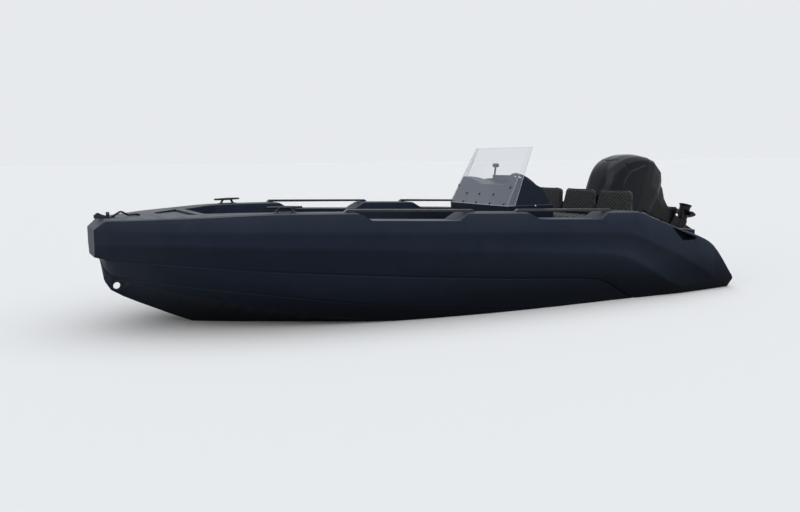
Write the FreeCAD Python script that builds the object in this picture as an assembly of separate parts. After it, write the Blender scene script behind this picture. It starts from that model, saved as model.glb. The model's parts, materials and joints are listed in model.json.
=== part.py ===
import FreeCAD, Part
import math
import os

from FreeCAD import Vector

# Rigid moulded open motorboat with a console, a rear bench and a tilted outboard engine
# Millimetres. +X forward, +Y port, +Z up. Origin on the centreline, midship, at the waterline
# Places along the hull in the tables below are measured forward from the stern end

# Hull: overall
length_overall = 5086.0
midship_x = 2550.0
x_stern = -midship_x

# Hull bottom. Columns: x, y and z of the chine's lower edge, y and z of its upper edge, keel's z
BOTTOM_LINES = [
    (250.0, 785.0, -100.0, 862.0, -66.0, -255.0),
    (1000.0, 800.0, -104.0, 880.0, -66.0, -262.0),
    (1290.0, 800.0, -107.0, 888.0, -52.0, -265.0),
    (1480.0, 800.0, -108.0, 888.0, -38.0, -266.0),
    (2300.0, 795.0, -85.0, 885.0, 25.0, -262.0),
    (3000.0, 765.0, -20.0, 850.0, 92.0, -235.0),
    (3600.0, 690.0, 60.0, 775.0, 175.0, -185.0),
    (4100.0, 570.0, 160.0, 650.0, 252.0, -105.0),
    (4450.0, 435.0, 232.0, 500.0, 300.0, 5.0),
    (4700.0, 285.0, 288.0, 330.0, 332.0, 120.0),
    (4900.0, 120.0, 335.0, 140.0, 358.0, 219.0),
    (length_overall - 110.0, 72.0, 350.0, 84.0, 372.0, 267.0),
    (length_overall - 67.0, 40.0, 405.0, 50.0, 425.0, 346.0),
    (length_overall - 50.0, 25.0, 474.0, 30.0, 480.0, 470.0),
]

# Topsides. Columns: x, then y and z of the undercut below the collar, the knuckle, the crease and
# the gunwale's outer edge, then y of the collar's inner wall, z of the gunwale's inner edge and
# the depth of the channel pressed in between knuckle and crease
TOPSIDE_LINES = [
    (0.0, 870.0, -20.0, 935.0, 72.0, 937.0, 84.0, 925.0, 118.0, 745.0, 114.0, 0.0),
    (120.0, 872.0, -38.0, 945.0, 70.0, 948.0, 92.0, 935.0, 262.0, 738.0, 258.0, 0.0),
    (250.0, 875.0, -44.0, 955.0, 68.0, 960.0, 104.0, 942.0, 390.0, 735.0, 388.0, 0.0),
    (350.0, 880.0, -45.0, 962.0, 66.0, 968.0, 165.0, 948.0, 445.0, 735.0, 443.0, 9.0),
    (640.0, 890.0, -45.0, 985.0, 69.0, 990.0, 306.0, 958.0, 540.0, 745.0, 540.0, 28.0),
    (1000.0, 900.0, -35.0, 1003.0, 226.0, 1008.0, 446.0, 966.0, 660.0, 760.0, 662.0, 30.0),
    (1134.0, 905.0, 15.0, 1008.0, 290.0, 1013.0, 498.0, 972.0, 703.0, 768.0, 703.0, 28.0),
    (1290.0, 912.0, 98.0, 1014.0, 352.0, 1019.0, 538.0, 978.0, 708.0, 778.0, 708.0, 24.0),
    (1480.0, 918.0, 188.0, 1018.0, 386.0, 1022.0, 552.0, 980.0, 714.0, 780.0, 714.0, 18.0),
    (2300.0, 920.0, 262.0, 1018.0, 452.0, 1022.0, 598.0, 980.0, 742.0, 780.0, 742.0, 7.0),
    (3000.0, 893.0, 322.0, 985.0, 500.0, 989.0, 630.0, 945.0, 765.0, 745.0, 765.0, 0.0),
    (3600.0, 826.0, 376.0, 915.0, 540.0, 920.0, 655.0, 880.0, 783.0, 680.0, 783.0, 0.0),
    (4100.0, 722.0, 422.0, 808.0, 568.0, 812.0, 674.0, 775.0, 790.0, 575.0, 790.0, 0.0),
    (4450.0, 590.0, 455.0, 670.0, 584.0, 674.0, 684.0, 640.0, 778.0, 440.0, 778.0, 0.0),
]

# Bow moulding, which joins the two collars. Columns: as above, without the last three
BOW_LINES = [
    (4700.0, 450.0, 478.0, 524.0, 588.0, 527.0, 687.0, 498.0, 770.0),
    (4900.0, 290.0, 492.0, 352.0, 587.0, 355.0, 689.0, 335.0, 760.0),
    (length_overall - 76.0, 195.0, 499.0, 258.0, 584.0, 260.0, 690.0, 250.0, 757.0),
    (length_overall - 38.0, 165.0, 503.0, 222.0, 582.0, 222.0, 690.0, 216.0, 727.0),
    (length_overall, 140.0, 512.0, 182.0, 580.0, 182.0, 690.0, 180.0, 696.0),
]

# Spacing of the hull's sections, toward the stern and elsewhere, and the radii of its edges
section_pitch_aft = 95.0
section_pitch = 160.0
aft_end_x = 1480.0
knuckle_radius = 26.0
crease_radius = 14.0
gunwale_radius = 30.0
lip_radius = 16.0
edge_share = 0.36

# Grooves along the hull under the collar and at the chine
seam_height = 17.0
seam_depth = 13.0
chine_seam = 10.0
chine_seam_depth = 9.0

# Channel between knuckle and crease. Columns: share of the way up and share of its depth
CHANNEL_SHAPE = [(0.2, 0.7), (0.5, 1.0), (0.8, 0.7)]

# Cockpit. The deep part is cut down to the floor, and the bow platform is left above it.
# Columns of the plan: x and half width
deep_half = 700.0
DEEP_PLAN = [(3400.0, deep_half), (3750.0, 620.0), (4050.0, 430.0)]
floor_z = 218.0
bulkhead_x = 4395.0
bulkhead_half = 330.0
bow_step_x = 4645.0
bow_step_half = 160.0
bow_step_wide = 360.0
bow_step_depth = 9.0
inner_lap = 12.0

# Hand rails over the dips in the gunwale. Columns: name, x of the dip's fore and aft top edges
DIPS = [
    ("fore", 3530.0, 2710.0),
    ("aft", 2219.0, 1450.0),
]
dip_depth = 53.0
dip_slope = 90.0
rail_overhang = 78.0
rail_width = 34.0
rail_thickness = 18.0
rail_inset = 70.0
rail_tip = 26.0
rail_foot_length = 26.0
rail_lift = 3.0

# Horn cleats on the gunwale, forward
cleat_x = 3970.0
cleat_inset = 108.0
cleat_length = 228.0
cleat_horn = 10.0
cleat_tip = 7.0
cleat_post = 9.0
cleat_post_foot = 54.0
cleat_post_head = 34.0
cleat_height = 36.0
cleat_base = 5.0
cleat_base_half = 74.0
cleat_base_width = 40.0
cleat_turn = 17.0

# Pockets with an eye in the stern quarters. Columns: x and how far below the gunwale
POCKET = [(765.0, 18.0), (467.0, 25.0), (489.0, 54.0), (616.0, 99.0), (663.0, 92.0)]
pocket_sink = 78.0
eye_wire = 4.0
eye_half = 12.0
eye_height = 24.0
eye_bend = 9.0
eye_plate = 3.0
eye_plate_half = 20.0
eye_plate_width = 24.0

# Stem
tow_eye_x = length_overall - 147.0
tow_eye_z = 296.0
tow_eye_radius = 24.0
tow_eye_web = 28.0
tow_eye_flare = 0.35

# Bow fittings, placed back from the tip
roller_back = 54.0
roller_radius = 19.0
roller_waist = 11.0
roller_width = 52.0
roller_pin = 6.0
roller_rise = 17.0
cheek_thickness = 4.0
cheek_gap = 1.5
cheek_length = 134.0
cheek_reach = 26.0
cheek_top = 25.0
cheek_floor = 4.0
post_back = 114.0
post_radius = 11.0
post_flange = 17.0
post_height = 34.0
post_bar = 7.0
post_bar_half = 46.0
post_bar_share = 0.66
handle_back = post_back + post_flange + 16.0
handle_peak = 52.0
handle_drop = 98.0
handle_length = 164.0
handle_height = 36.0
handle_tube = 6.5
handle_bend = 22.0
handle_foot = 12.0
handle_pad = 5.0

# Transom
transom_x = 250.0
transom_thickness = 60.0
transom_top_z = 405.0
transom_notch_half = 330.0
transom_slope = 90.0
transom_wing_z = 500.0

# Cockpit floor panel
floor_panel = 10.0
floor_margin = 6.0
floor_taper = 30.0
rib_count = 9
rib_width = 18.0
rib_depth = 3.0
rib_margin = 60.0

# Console, placed from its front
console_front_x = 2060.0
console_length = 470.0
console_aft_x = console_front_x - console_length
console_y = 35.0
console_half = 446.0
console_foot_half = 400.0
console_corner = 60.0
console_knee_z = 719.0
dash_x = console_front_x - 215.0
lip_back = 372.0
lip_x = console_front_x - lip_back
lip_z = 886.0

# Top edge of the console's front. Columns: y from its middle and z
CREST = [(-430.0, 975.0), (-275.0, 966.0), (-65.0, 917.0), (267.0, 917.0), (300.0, 970.0),
         (430.0, 975.0)]
crest_z = CREST[0][1]
dash_z = crest_z - 14.0
dash_rise = (dash_z - lip_z) / (dash_x - lip_x)
legroom_margin = 70.0
legroom_depth = 250.0
legroom_drop = 150.0

# Windshield
shield_foot_x = console_front_x - 8.0
shield_foot_z = 752.0
shield_rake = 248.0
shield_height = 465.0
shield_foot_half = 437.0
shield_top_half = 395.0
shield_thickness = 5.0
shield_bend = 12.0
shield_wing_foot = 80.0
shield_wing_top = 30.0
shield_gap = 1.5

# Helm
wheel_radius = 178.0
rim_radius = 12.0
wheel_back = 500.0
wheel_x = console_front_x - wheel_back
wheel_y = console_y + 25.0
wheel_z = 868.0
wheel_slope = 42.0
hub_radius = 30.0
hub_depth = 26.0
spoke_count = 3
spoke_half = 11.0
spoke_thickness = 8.0
helm_radius = 42.0
helm_length = 118.0
column_radius = 10.0

# Instrument pod and throttle
pod_half = 150.0
pod_length = 120.0
pod_back = 30.0
pod_lean = 20.0
pod_height = 46.0
throttle_x = console_front_x - 348.0
throttle_y = console_y - 285.0
throttle_length = 130.0
throttle_half = 32.0
throttle_height = 44.0
lever_length = 135.0
lever_radius = 8.0
lever_lean = 20.0
lever_pivot = 16.0
knob_radius = 17.0
knob_half = 26.0

# Bench and seats
bench_front_x = 1330.0
bench_aft_x = 900.0
bench_half = 660.0
bench_top_z = 545.0
bench_corner = 60.0
cushion_thickness = 85.0
cushion_margin = 14.0
back_count = 3
back_pitch = 452.0
back_gap = 10.0
back_foot_z = 642.0
back_top_z = 862.0
back_foot_x = 935.0
back_thickness = 62.0
back_lean = 40.0
back_taper = 26.0
back_corner = 44.0
frame_width = 50.0
frame_thickness = 14.0
soft_gap = 0.3

# Engine. Its places are a, aft of the tilt tube, and u, up from it, with the engine down
tilt_x = 270.0
tilt_z = 440.0
tilt_rest = 72.0
tube_radius = 14.0
tube_boss = 28.0
running_gap = 0.05
side_gap = 0.3
clamp_inner = 74.0
clamp_plate = 14.0
clamp_foot_u = -395.0
clamp_hook_x = 70.0
clamp_hook_u = -115.0
swivel_a = 140.0
swivel_tube = 27.0
swivel_shaft = 15.0
swivel_top_u = 16.0
swivel_foot_u = -330.0
swivel_cheek = 10.0
swivel_cheek_inner = 34.0
ram_pin_a = 54.0
ram_pin_u = -360.0
ram_eye_a = 60.0
ram_eye_u = -58.0
ram_barrel = 21.0
ram_rod = 9.0
ram_barrel_length = 250.0
ram_rod_length = 240.0
ram_pin = 7.0
ram_eye = 15.0
cowl_split_u = 185.0
cowl_foot_u = 90.0
cowl_front_a = -45.0
cowl_wall = 5.0

# Upper cowl. Columns: u, front a, back a, half width at the front and at the back, corner
COWL = [
    (cowl_split_u, cowl_front_a, 665.0, 140.0, 200.0, 80.0),
    (260.0, cowl_front_a, 660.0, 140.0, 201.0, 84.0),
    (330.0, cowl_front_a, 645.0, 138.0, 200.0, 90.0),
    (400.0, cowl_front_a, 615.0, 135.0, 196.0, 92.0),
    (470.0, cowl_front_a + 7.0, 565.0, 130.0, 184.0, 92.0),
    (520.0, cowl_front_a + 23.0, 510.0, 119.0, 166.0, 90.0),
    (560.0, cowl_front_a + 53.0, 440.0, 100.0, 138.0, 80.0),
    (580.0, cowl_front_a + 90.0, 375.0, 78.0, 108.0, 60.0),
    (588.0, cowl_front_a + 130.0, 325.0, 56.0, 78.0, 40.0),
]
cowl_steps = 2
powerhead_front_a = 60.0
powerhead_back_a = 460.0
powerhead_top_u = 440.0
powerhead_half = 115.0
leg_top_u = -100.0
leg_front_a = 187.0
leg_half = 62.0
neck_back_a = 312.0
neck_top_u = 52.0
plate_u = -425.0
plate_thickness = 8.0
shaft_u = -600.0

# Skirt of the lower cowl and housing of the leg. Columns as the cowl's
SKIRT = [
    (leg_top_u, leg_front_a + 4.0, 548.0, 70.0, 120.0, 56.0),
    (-40.0, leg_front_a + 4.0, 612.0, 88.0, 150.0, 62.0),
    (cowl_foot_u + 1.0, leg_front_a + 4.0, 662.0, 110.0, 182.0, 70.0),
]
LEG = [
    (leg_top_u, leg_front_a, 532.0, 40.0, 92.0, 50.0),
    (-180.0, leg_front_a, 486.0, 36.0, 74.0, 44.0),
    (-250.0, leg_front_a, 402.0, 30.0, 56.0, 34.0),
    (-330.0, leg_front_a, 345.0, 28.0, 42.0, 26.0),
    (plate_u, leg_front_a - 10.0, 328.0, 26.0, 36.0, 22.0),
]
STRUT = [
    (plate_u - plate_thickness, leg_front_a - 30.0, 300.0, 14.0, 34.0, 16.0),
    (shaft_u, leg_front_a - 37.0, 258.0, 10.0, 26.0, 14.0),
]

# Plate above the propeller. Columns: a and half width
PLATE = [(150.0, 22.0), (230.0, 60.0), (330.0, 72.0), (352.0, 50.0)]
lower_mount = 24.0
lower_mount_depth = 42.0
torpedo_radius = 52.0
torpedo_front_a = 100.0
torpedo_back_a = 268.0
torpedo_nose = 80.0
skeg_u = -775.0
skeg_half = 5.0
prop_radius = 148.0
prop_hub = 46.0
prop_hub_aft = 52.0
prop_flare = 62.0
prop_flare_length = 22.0
prop_length = 150.0
prop_shaft = 12.0
blade_count = 3
blade_start = 180.0
blade_pitch = 24.0
blade_chord = 96.0
blade_thickness = 5.0

os.makedirs("parts", exist_ok=True)


def save(name, shape):
    """Write one node."""
    shape.exportStep("parts/" + name + ".step")


def at(x):
    """Turn a distance from the stern end into an x in the row frame."""
    return x_stern + x


def wire(points):
    """Closed wire of straight edges."""
    return Part.makePolygon([Vector(*p) for p in points] + [Vector(*points[0])])


def face(points):
    """Flat face of straight edges."""
    return Part.Face(wire(points))


def box(x0, x1, y0, y1, z0, z1):
    """Box between two corners."""
    return Part.makeBox(x1 - x0, y1 - y0, z1 - z0, Vector(x0, y0, z0))


def rod(start, end, radius):
    """Round rod from one point to another."""
    a, b = Vector(*start), Vector(*end)
    return Part.makeCylinder(radius, (b - a).Length, a, b - a)


def slab_y(profile, y0, y1):
    """Profile of x and z points, pushed from y0 to y1."""
    return face([(x, y0, z) for x, z in profile]).extrude(Vector(0, y1 - y0, 0))


def slab_z(plan, z0, z1):
    """Plan of x and y points, pushed from z0 to z1."""
    return face([(x, y, z0) for x, y in plan]).extrude(Vector(0, 0, z1 - z0))


def slab_x(section, x0, x1):
    """Section of y and z points, pushed from x0 to x1."""
    return face([(x0, y, z) for y, z in section]).extrude(Vector(x1 - x0, 0, 0))


def loft(sections):
    """Solid ruled through sections that have as many points each."""
    return Part.makeLoft([wire(s) for s in sections], True, True)


def mirrored(shape):
    """The same shape on the starboard side."""
    return shape.mirror(Vector(0, 0, 0), Vector(0, 1, 0))


def fused(shapes):
    """One solid from several that touch."""
    whole = shapes[0]
    for other in shapes[1:]:
        whole = whole.fuse(other)
    return whole.removeSplitter()


def both_sides(half):
    """Close a half outline of x and y points with its mirror image."""
    return half + [(x, -y) for x, y in reversed(half)]


def both_sides_yz(half):
    """Close a half outline of y and z points with its mirror image."""
    return half + [(-y, z) for y, z in reversed(half)]


def slopes(xs, ys):
    """Slopes at the points of a curve that keeps their rise and fall."""
    steps = [(y1 - y0) / (x1 - x0) for x0, x1, y0, y1 in zip(xs, xs[1:], ys, ys[1:])]
    inner = [2 * a * b / (a + b) if a * b > 0 else 0.0 for a, b in zip(steps, steps[1:])]
    return [steps[0]] + inner + [steps[-1]]


def smooth_row(table, x):
    """Row of a table at x, on smooth curves through its rows."""
    columns = list(zip(*table))
    xs = columns[0]
    x = min(max(x, xs[0]), xs[-1])
    k = next(k for k in range(1, len(xs)) if x <= xs[k])
    run = xs[k] - xs[k - 1]
    t = (x - xs[k - 1]) / run
    row = [x]
    for column in columns[1:]:
        lean = slopes(xs, column)
        row.append((2 * t**3 - 3 * t**2 + 1) * column[k - 1] + (3 * t**2 - 2 * t**3) * column[k]
                   + (t**3 - 2 * t**2 + t) * run * lean[k - 1] + (t**3 - t**2) * run * lean[k])
    return row


def hull_stations():
    """Places of the hull's sections: every row of its tables, and even steps between them."""
    places = []
    for low, high in zip(ROW_PLACES, ROW_PLACES[1:]):
        pitch = section_pitch_aft if low < aft_end_x else section_pitch
        steps = math.ceil((high - low) / pitch)
        places += [low + (high - low) * k / steps for k in range(steps)]
    return places + [ROW_PLACES[-1]]


SIDE_LINES = [row[:9] for row in TOPSIDE_LINES] + BOW_LINES
ROW_PLACES = sorted({row[0] for row in BOTTOM_LINES + SIDE_LINES})
STATIONS = hull_stations()


def stations(low, high):
    """Section places from low to high, both included."""
    return [low] + [x for x in STATIONS if low < x < high] + [high]


def side_row(x):
    """Undercut, knuckle, crease and gunwale at x, along collar and bow."""
    return smooth_row(SIDE_LINES, x)


def topside_row(x):
    """The same with the collar's inner wall and channel."""
    return side_row(x) + smooth_row(TOPSIDE_LINES, x)[9:]


def built(row_at, x):
    """Row at x of the built surface, which is straight between two sections."""
    x = min(max(x, STATIONS[0]), STATIONS[-1])
    high = next(s for s in STATIONS if s >= x)
    low = max((s for s in STATIONS if s < high), default=high)
    t = (x - low) / (high - low) if high > low else 0.0
    return [p + t * (q - p) for p, q in zip(row_at(low), row_at(high))]


def gunwale(x):
    """Outer edge's y, its z and the inner wall's y of the gunwale at x from the stern end."""
    row = built(topside_row, x)
    return row[7], row[8], row[9]


def deck_z(x):
    """Foredeck height at x from the stern end."""
    return built(side_row, x)[8]


def eased(points, reaches):
    """Open line of y and z points whose corners are eased over their reach by two short edges."""
    line = [points[0]]
    for before, corner, after, reach in zip(points, points[1:], points[2:], reaches[1:]):
        if not reach:
            line.append(corner)
            continue
        ends = []
        for other in (before, after):
            length = math.dist(corner, other)
            share = min(reach / length, edge_share)
            ends.append(tuple(c + share * (o - c) for c, o in zip(corner, other)))
        middle = tuple((a + 2 * c + b) / 4 for a, c, b in zip(ends[0], corner, ends[1]))
        line += [ends[0], middle, ends[1]]
    return line + [points[-1]]


def round_path(points, radius, tube):
    """Round tube along straight runs joined by arcs of one radius."""
    pts = [Vector(*p) for p in points]
    edges = []
    start = pts[0]
    for before, corner, after in zip(pts, pts[1:], pts[2:]):
        into = (corner - before).normalize()
        away = (after - corner).normalize()
        half = into.getAngle(away) / 2
        reach = radius * math.tan(half)
        p0 = corner - into * reach
        p1 = corner + away * reach
        inward = (away - into).normalize()
        centre = corner + inward * (radius / math.cos(half))
        edges.append(Part.LineSegment(start, p0).toShape())
        edges.append(Part.Arc(p0, centre - inward * radius, p1).toShape())
        start = p1
    edges.append(Part.LineSegment(start, pts[-1]).toShape())
    profile = Part.Wire([Part.makeCircle(tube, pts[0], pts[1] - pts[0])])
    return Part.Wire(edges).makePipeShell([profile], True, False)


# Hull

def between(start, end, share):
    """Point part of the way from one to another."""
    return tuple(a + share * (b - a) for a, b in zip(start, end))


def bottom_section(x):
    """Section from keel to undercut, with the two grooves along the side."""
    _, y_lo, z_lo, y_up, z_up, keel = smooth_row(BOTTOM_LINES, x)
    y_cut, z_cut = side_row(x)[1:3]
    low, up, top = (y_lo, z_lo), (y_up, z_up), (y_cut, z_cut)
    panel = math.dist(up, top)
    seam = between(top, up, min(0.4, seam_height / panel))
    inner = y_cut - seam_depth
    half = [
        low, between(up, low, min(0.4, chine_seam / math.dist(up, low))),
        (y_up - min(chine_seam_depth, y_up / 4), z_up), between(up, top, min(0.25, chine_seam / panel)),
        seam, (inner, (seam[1] + z_cut) / 2), (inner, z_cut),
    ]
    points = [(0.0, keel)] + half + [(-y, z) for y, z in reversed(half)]
    return [(at(x), y, z) for y, z in points]


def floor_crossing():
    """The two hull sections between which the undercut line climbs past the cockpit floor."""
    above = next(k for k, x in enumerate(STATIONS) if side_row(x)[2] >= floor_z)
    return STATIONS[above - 1], STATIONS[above]


def inner_section(x):
    """Inside of the hull between the collars' inner walls, up to the cockpit floor."""
    row = topside_row(x)
    low, side = min(row[2], floor_z) - inner_lap, row[9]
    ring = [(side, low), (side, floor_z), (-side, floor_z), (-side, low)]
    return [(at(x), y, z) for y, z in ring]


def tow_eye_cones():
    """The two flared hollows that leave a thin web in the stem round the towing eye."""
    web, reach = tow_eye_web / 2, deep_half - tow_eye_web / 2
    mouth = tow_eye_radius + reach * tow_eye_flare
    return [Part.makeCone(tow_eye_radius, mouth, reach,
                          Vector(at(tow_eye_x), side * web, tow_eye_z), Vector(0, side, 0))
            for side in (-1, 1)]


def make_hull_bottom():
    ends = (BOTTOM_LINES[0][0], BOTTOM_LINES[-1][0])
    low, high = floor_crossing()
    body = loft([bottom_section(x) for x in stations(*ends)])
    body = body.fuse(loft([inner_section(x) for x in stations(ends[0], high)]))
    plan = both_sides([(at(low), deep_half)] + [(at(x), y) for x, y in DEEP_PLAN])
    body = body.cut(slab_z(plan, floor_z, crest_z))
    eye = rod((at(tow_eye_x), -tow_eye_web, tow_eye_z), (at(tow_eye_x), tow_eye_web, tow_eye_z),
              tow_eye_radius)
    return body.cut(fused([eye] + tow_eye_cones())).removeSplitter()


def side_outline(row, depth, beyond):
    """Eased outline from the undercut up to the gunwale, with the point beyond it."""
    _, y_cut, z_cut, y_kn, z_kn, y_cr, z_cr, y_gun, z_gun = row[:9]
    points = [(y_cut, z_cut), (y_kn, z_kn)]
    reaches = [0, knuckle_radius]
    for share, sink in CHANNEL_SHAPE:
        points.append((y_kn + share * (y_cr - y_kn) - sink * depth, z_kn + share * (z_cr - z_kn)))
        reaches.append(0)
    points += [(y_cr, z_cr), (y_gun, z_gun)] + beyond
    reaches += [crease_radius, gunwale_radius, lip_radius, 0]
    return eased(points, reaches)


def collar_section(x):
    row = topside_row(x)
    y_in, z_in, depth = row[9:]
    outline = side_outline(row, depth, [(y_in, z_in), (y_in, row[2])])
    return [(at(x), y, z) for y, z in outline]


def bow_section(x):
    row = side_row(x)
    half = side_outline(row, 0.0, [(-row[7], row[8])])[:-1]
    return [(at(x), y, z) for y, z in both_sides_yz(half)]


def dip_profile(fore, aft):
    """Side profile of one dip, open at the top."""
    z_fore, z_aft = gunwale(fore)[1], gunwale(aft)[1]
    return [
        (at(fore), z_fore), (at(fore), z_fore + dip_depth), (at(aft), z_aft + dip_depth),
        (at(aft), z_aft), (at(aft + dip_slope), z_aft - dip_depth),
        (at(fore - dip_slope), z_fore - dip_depth),
    ]


def pocket_corners():
    """Outline of the pocket in the stern quarter's side, as x and z."""
    return [(x, gunwale(x)[1] - drop) for x, drop in POCKET]


def pocket_back():
    """y of the pocket's inner face."""
    return min(gunwale(x)[0] for x, _ in POCKET) - pocket_sink


def make_collar():
    body = loft([collar_section(x) for x in stations(0.0, TOPSIDE_LINES[-1][0])])
    outside = 2 * TOPSIDE_LINES[0][1]
    for _, fore, aft in DIPS:
        body = body.cut(slab_y(dip_profile(fore, aft), 0.0, outside))
    outline = [(at(x), z) for x, z in pocket_corners()]
    return body.cut(slab_y(outline, pocket_back(), outside))


def make_bow():
    """Bow moulding with the shallow step sunk in its deck, ahead of the cockpit."""
    aft_x = TOPSIDE_LINES[-1][0]
    body = loft([bow_section(x) for x in stations(aft_x, BOW_LINES[-1][0])])
    plan = both_sides([(at(aft_x), bow_step_wide), (at(bow_step_x), bow_step_half)])
    return body.cut(slab_z(plan, deck_z(bow_step_x) - bow_step_depth, crest_z))


save("hull_bottom", make_hull_bottom())
collar = make_collar()
save("collar_port", collar)
save("collar_starboard", mirrored(collar))
save("bow_moulding", make_bow())


def make_bow_bulkhead():
    """Front wall of the cockpit with its diagonal corners, between the two collars."""
    aft, fore = TOPSIDE_LINES[-2][0], TOPSIDE_LINES[-1][0]
    sections = []
    for x in stations(aft, fore):
        row = topside_row(x)
        section = both_sides_yz([(row[9], row[2]), (row[9], row[10])])
        sections.append([(at(x), y, z) for y, z in section])
    cockpit = both_sides([(at(aft), gunwale(aft)[2]), (at(bulkhead_x), bulkhead_half)])
    return loft(sections).cut(slab_z(cockpit, floor_z, crest_z))


def make_transom():
    side = min(gunwale(transom_x)[2], gunwale(transom_x + transom_thickness)[2])
    wing = transom_notch_half + transom_slope
    half = [(side, floor_z), (side, transom_wing_z), (wing, transom_wing_z),
            (transom_notch_half, transom_top_z)]
    return slab_x(both_sides_yz(half), at(transom_x), at(transom_x + transom_thickness))


def make_floor_panel():
    aft = transom_x + transom_thickness + floor_margin
    deep = deep_half - floor_margin
    half = [(at(aft), gunwale(aft)[2] - floor_margin - floor_taper)]
    half += [(at(floor_crossing()[0]), deep)]
    half += [(at(x - floor_margin), y - floor_margin) for x, y in DEEP_PLAN]
    top = floor_z + floor_panel
    panel = slab_z(both_sides(half), floor_z, top)
    side = deep - rib_margin
    pitch = 2 * side / (rib_count - 1)
    for k in range(rib_count):
        y = k * pitch - side
        panel = panel.cut(box(at(console_front_x + rib_margin), at(DEEP_PLAN[1][0] - rib_margin),
                              y - rib_width / 2, y + rib_width / 2, top - rib_depth, top))
    return panel


save("bow_bulkhead", make_bow_bulkhead())
save("transom", make_transom())
save("floor_panel", make_floor_panel())


# Deck fittings

def make_rail(fore, aft):
    """Flat hand rail with pointed ends on two feet, bridging one dip."""
    x0, x1 = aft - rail_overhang, fore + rail_overhang
    y0, z0, _ = gunwale(aft)
    y1, z1, _ = gunwale(fore)
    climb = (z1 - z0) / (fore - aft)
    skew = (y1 - y0) / (fore - aft)

    def under(x):
        return z0 + (x - aft) * climb + rail_lift

    profile = [
        (at(x0), under(x0)), (at(x0 + rail_tip), under(x0) + rail_thickness),
        (at(x1 - rail_tip), under(x1) + rail_thickness), (at(x1), under(x1)),
    ]
    parts = [slab_y(profile, -rail_width / 2, rail_width / 2)]
    for x in (x0 + rail_tip, x1 - rail_tip - rail_foot_length):
        ends = (x, x + rail_foot_length)
        low = [(at(e), gunwale(e)[1] + side_gap) for e in ends]
        high = [(at(e), under(e) + rail_thickness / 2) for e in reversed(ends)]
        parts.append(slab_y(low + high, -rail_width / 2, rail_width / 2))
    rail = fused(parts)
    rail.translate(Vector(-at(x0), 0, 0))
    rail.rotate(Vector(0, 0, 0), Vector(0, 0, 1), math.degrees(math.atan(skew)))
    rail.translate(Vector(at(x0), y0 - rail_inset - rail_overhang * skew, 0))
    return rail


def make_cleat():
    """Horn cleat on two splayed posts, turned to follow the gunwale."""
    half = cleat_length / 2
    parts = [box(-cleat_base_half, cleat_base_half, -cleat_base_width / 2, cleat_base_width / 2,
                 0.0, cleat_base)]
    for side in (-1, 1):
        parts.append(rod((side * cleat_post_foot, 0, cleat_base),
                         (side * cleat_post_head, 0, cleat_height), cleat_post))
        parts.append(Part.makeCone(cleat_horn, cleat_tip, half, Vector(0, 0, cleat_height),
                                   Vector(side, 0, 0)))
    cleat = fused(parts)
    cleat.rotate(Vector(0, 0, 0), Vector(0, 0, 1), -cleat_turn)
    reach = cleat_base_half
    seat = max(gunwale(cleat_x + step)[1] for step in (-reach, 0.0, reach)) + side_gap
    cleat.translate(Vector(at(cleat_x), gunwale(cleat_x)[0] - cleat_inset, seat))
    return cleat


def make_eye():
    """Bent bar eye standing on the lowest face of the stern quarter's pocket."""
    (x0, z0), (x1, z1) = pocket_corners()[-2:]
    slope = math.degrees(math.atan((z1 - z0) / (x1 - x0)))
    plate = box(-eye_plate_half, eye_plate_half, -eye_plate_width / 2, eye_plate_width / 2,
                side_gap, side_gap + eye_plate)
    loop = round_path([(-eye_half, 0, eye_plate / 2), (-eye_half, 0, eye_height),
                       (eye_half, 0, eye_height), (eye_half, 0, eye_plate / 2)],
                      eye_bend, eye_wire)
    eye = fused([plate, loop])
    eye.rotate(Vector(0, 0, 0), Vector(0, 1, 0), -slope)
    eye.translate(Vector(at((x0 + x1) / 2), pocket_back() + pocket_sink / 2, (z0 + z1) / 2))
    return eye


for name, fore, aft in DIPS:
    rail = make_rail(fore, aft)
    save("rail_" + name + "_port", rail)
    save("rail_" + name + "_starboard", mirrored(rail))
for name, fitting in (("cleat", make_cleat()), ("stern_eye", make_eye())):
    save(name + "_port", fitting)
    save(name + "_starboard", mirrored(fitting))


# Bow roller, post and grab handle

def bow_place(back):
    """x at a distance back from the tip of the bow."""
    return BOW_LINES[-1][0] - back


def roller_centre():
    """Place of the roller's pin."""
    x = bow_place(roller_back)
    return Vector(at(x), 0, deck_z(bow_place(roller_back + cheek_reach)) + roller_rise)


def channel_ends():
    """Aft end and knee of the roller's channel, as x and the height it lies at."""
    back, knee = bow_place(cheek_length), BOW_LINES[2][0]
    return (back, deck_z(back) + side_gap), (knee, deck_z(knee) + side_gap)


def make_bow_cheeks():
    """Channel with two cheeks that carry the roller over the stem."""
    inner = roller_width / 2 + cheek_gap
    outer = inner + cheek_thickness
    pin = roller_centre()
    (back, z0), (knee, z1) = channel_ends()
    fore = pin.x + cheek_reach
    floor = [(at(back), z0), (at(knee), z1), (at(knee), z1 + cheek_floor),
             (at(back), z0 + cheek_floor)]
    cheek = [(at(back), z0), (at(knee), z1), (fore, z1), (fore, pin.z + roller_pin),
             (pin.x, z1 + cheek_top), (at(knee), z1 + cheek_top), (at(back), z0 + cheek_floor)]
    parts = [slab_y(floor, -outer, outer), slab_y(cheek, inner, outer),
             slab_y(cheek, -outer, -inner)]
    parts.append(rod((pin.x, -outer - cheek_gap, pin.z), (pin.x, outer + cheek_gap, pin.z),
                     roller_pin))
    return fused(parts)


def make_roller():
    """Waisted roller on its pin."""
    pin = roller_centre()
    half = roller_width / 2
    drum = []
    for side in (-1, 1):
        drum.append(Part.makeCone(roller_waist, roller_radius, half, pin, Vector(0, side, 0)))
    bore = rod((pin.x, -half, pin.z), (pin.x, half, pin.z), roller_pin + running_gap)
    return fused(drum).cut(bore)


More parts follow.
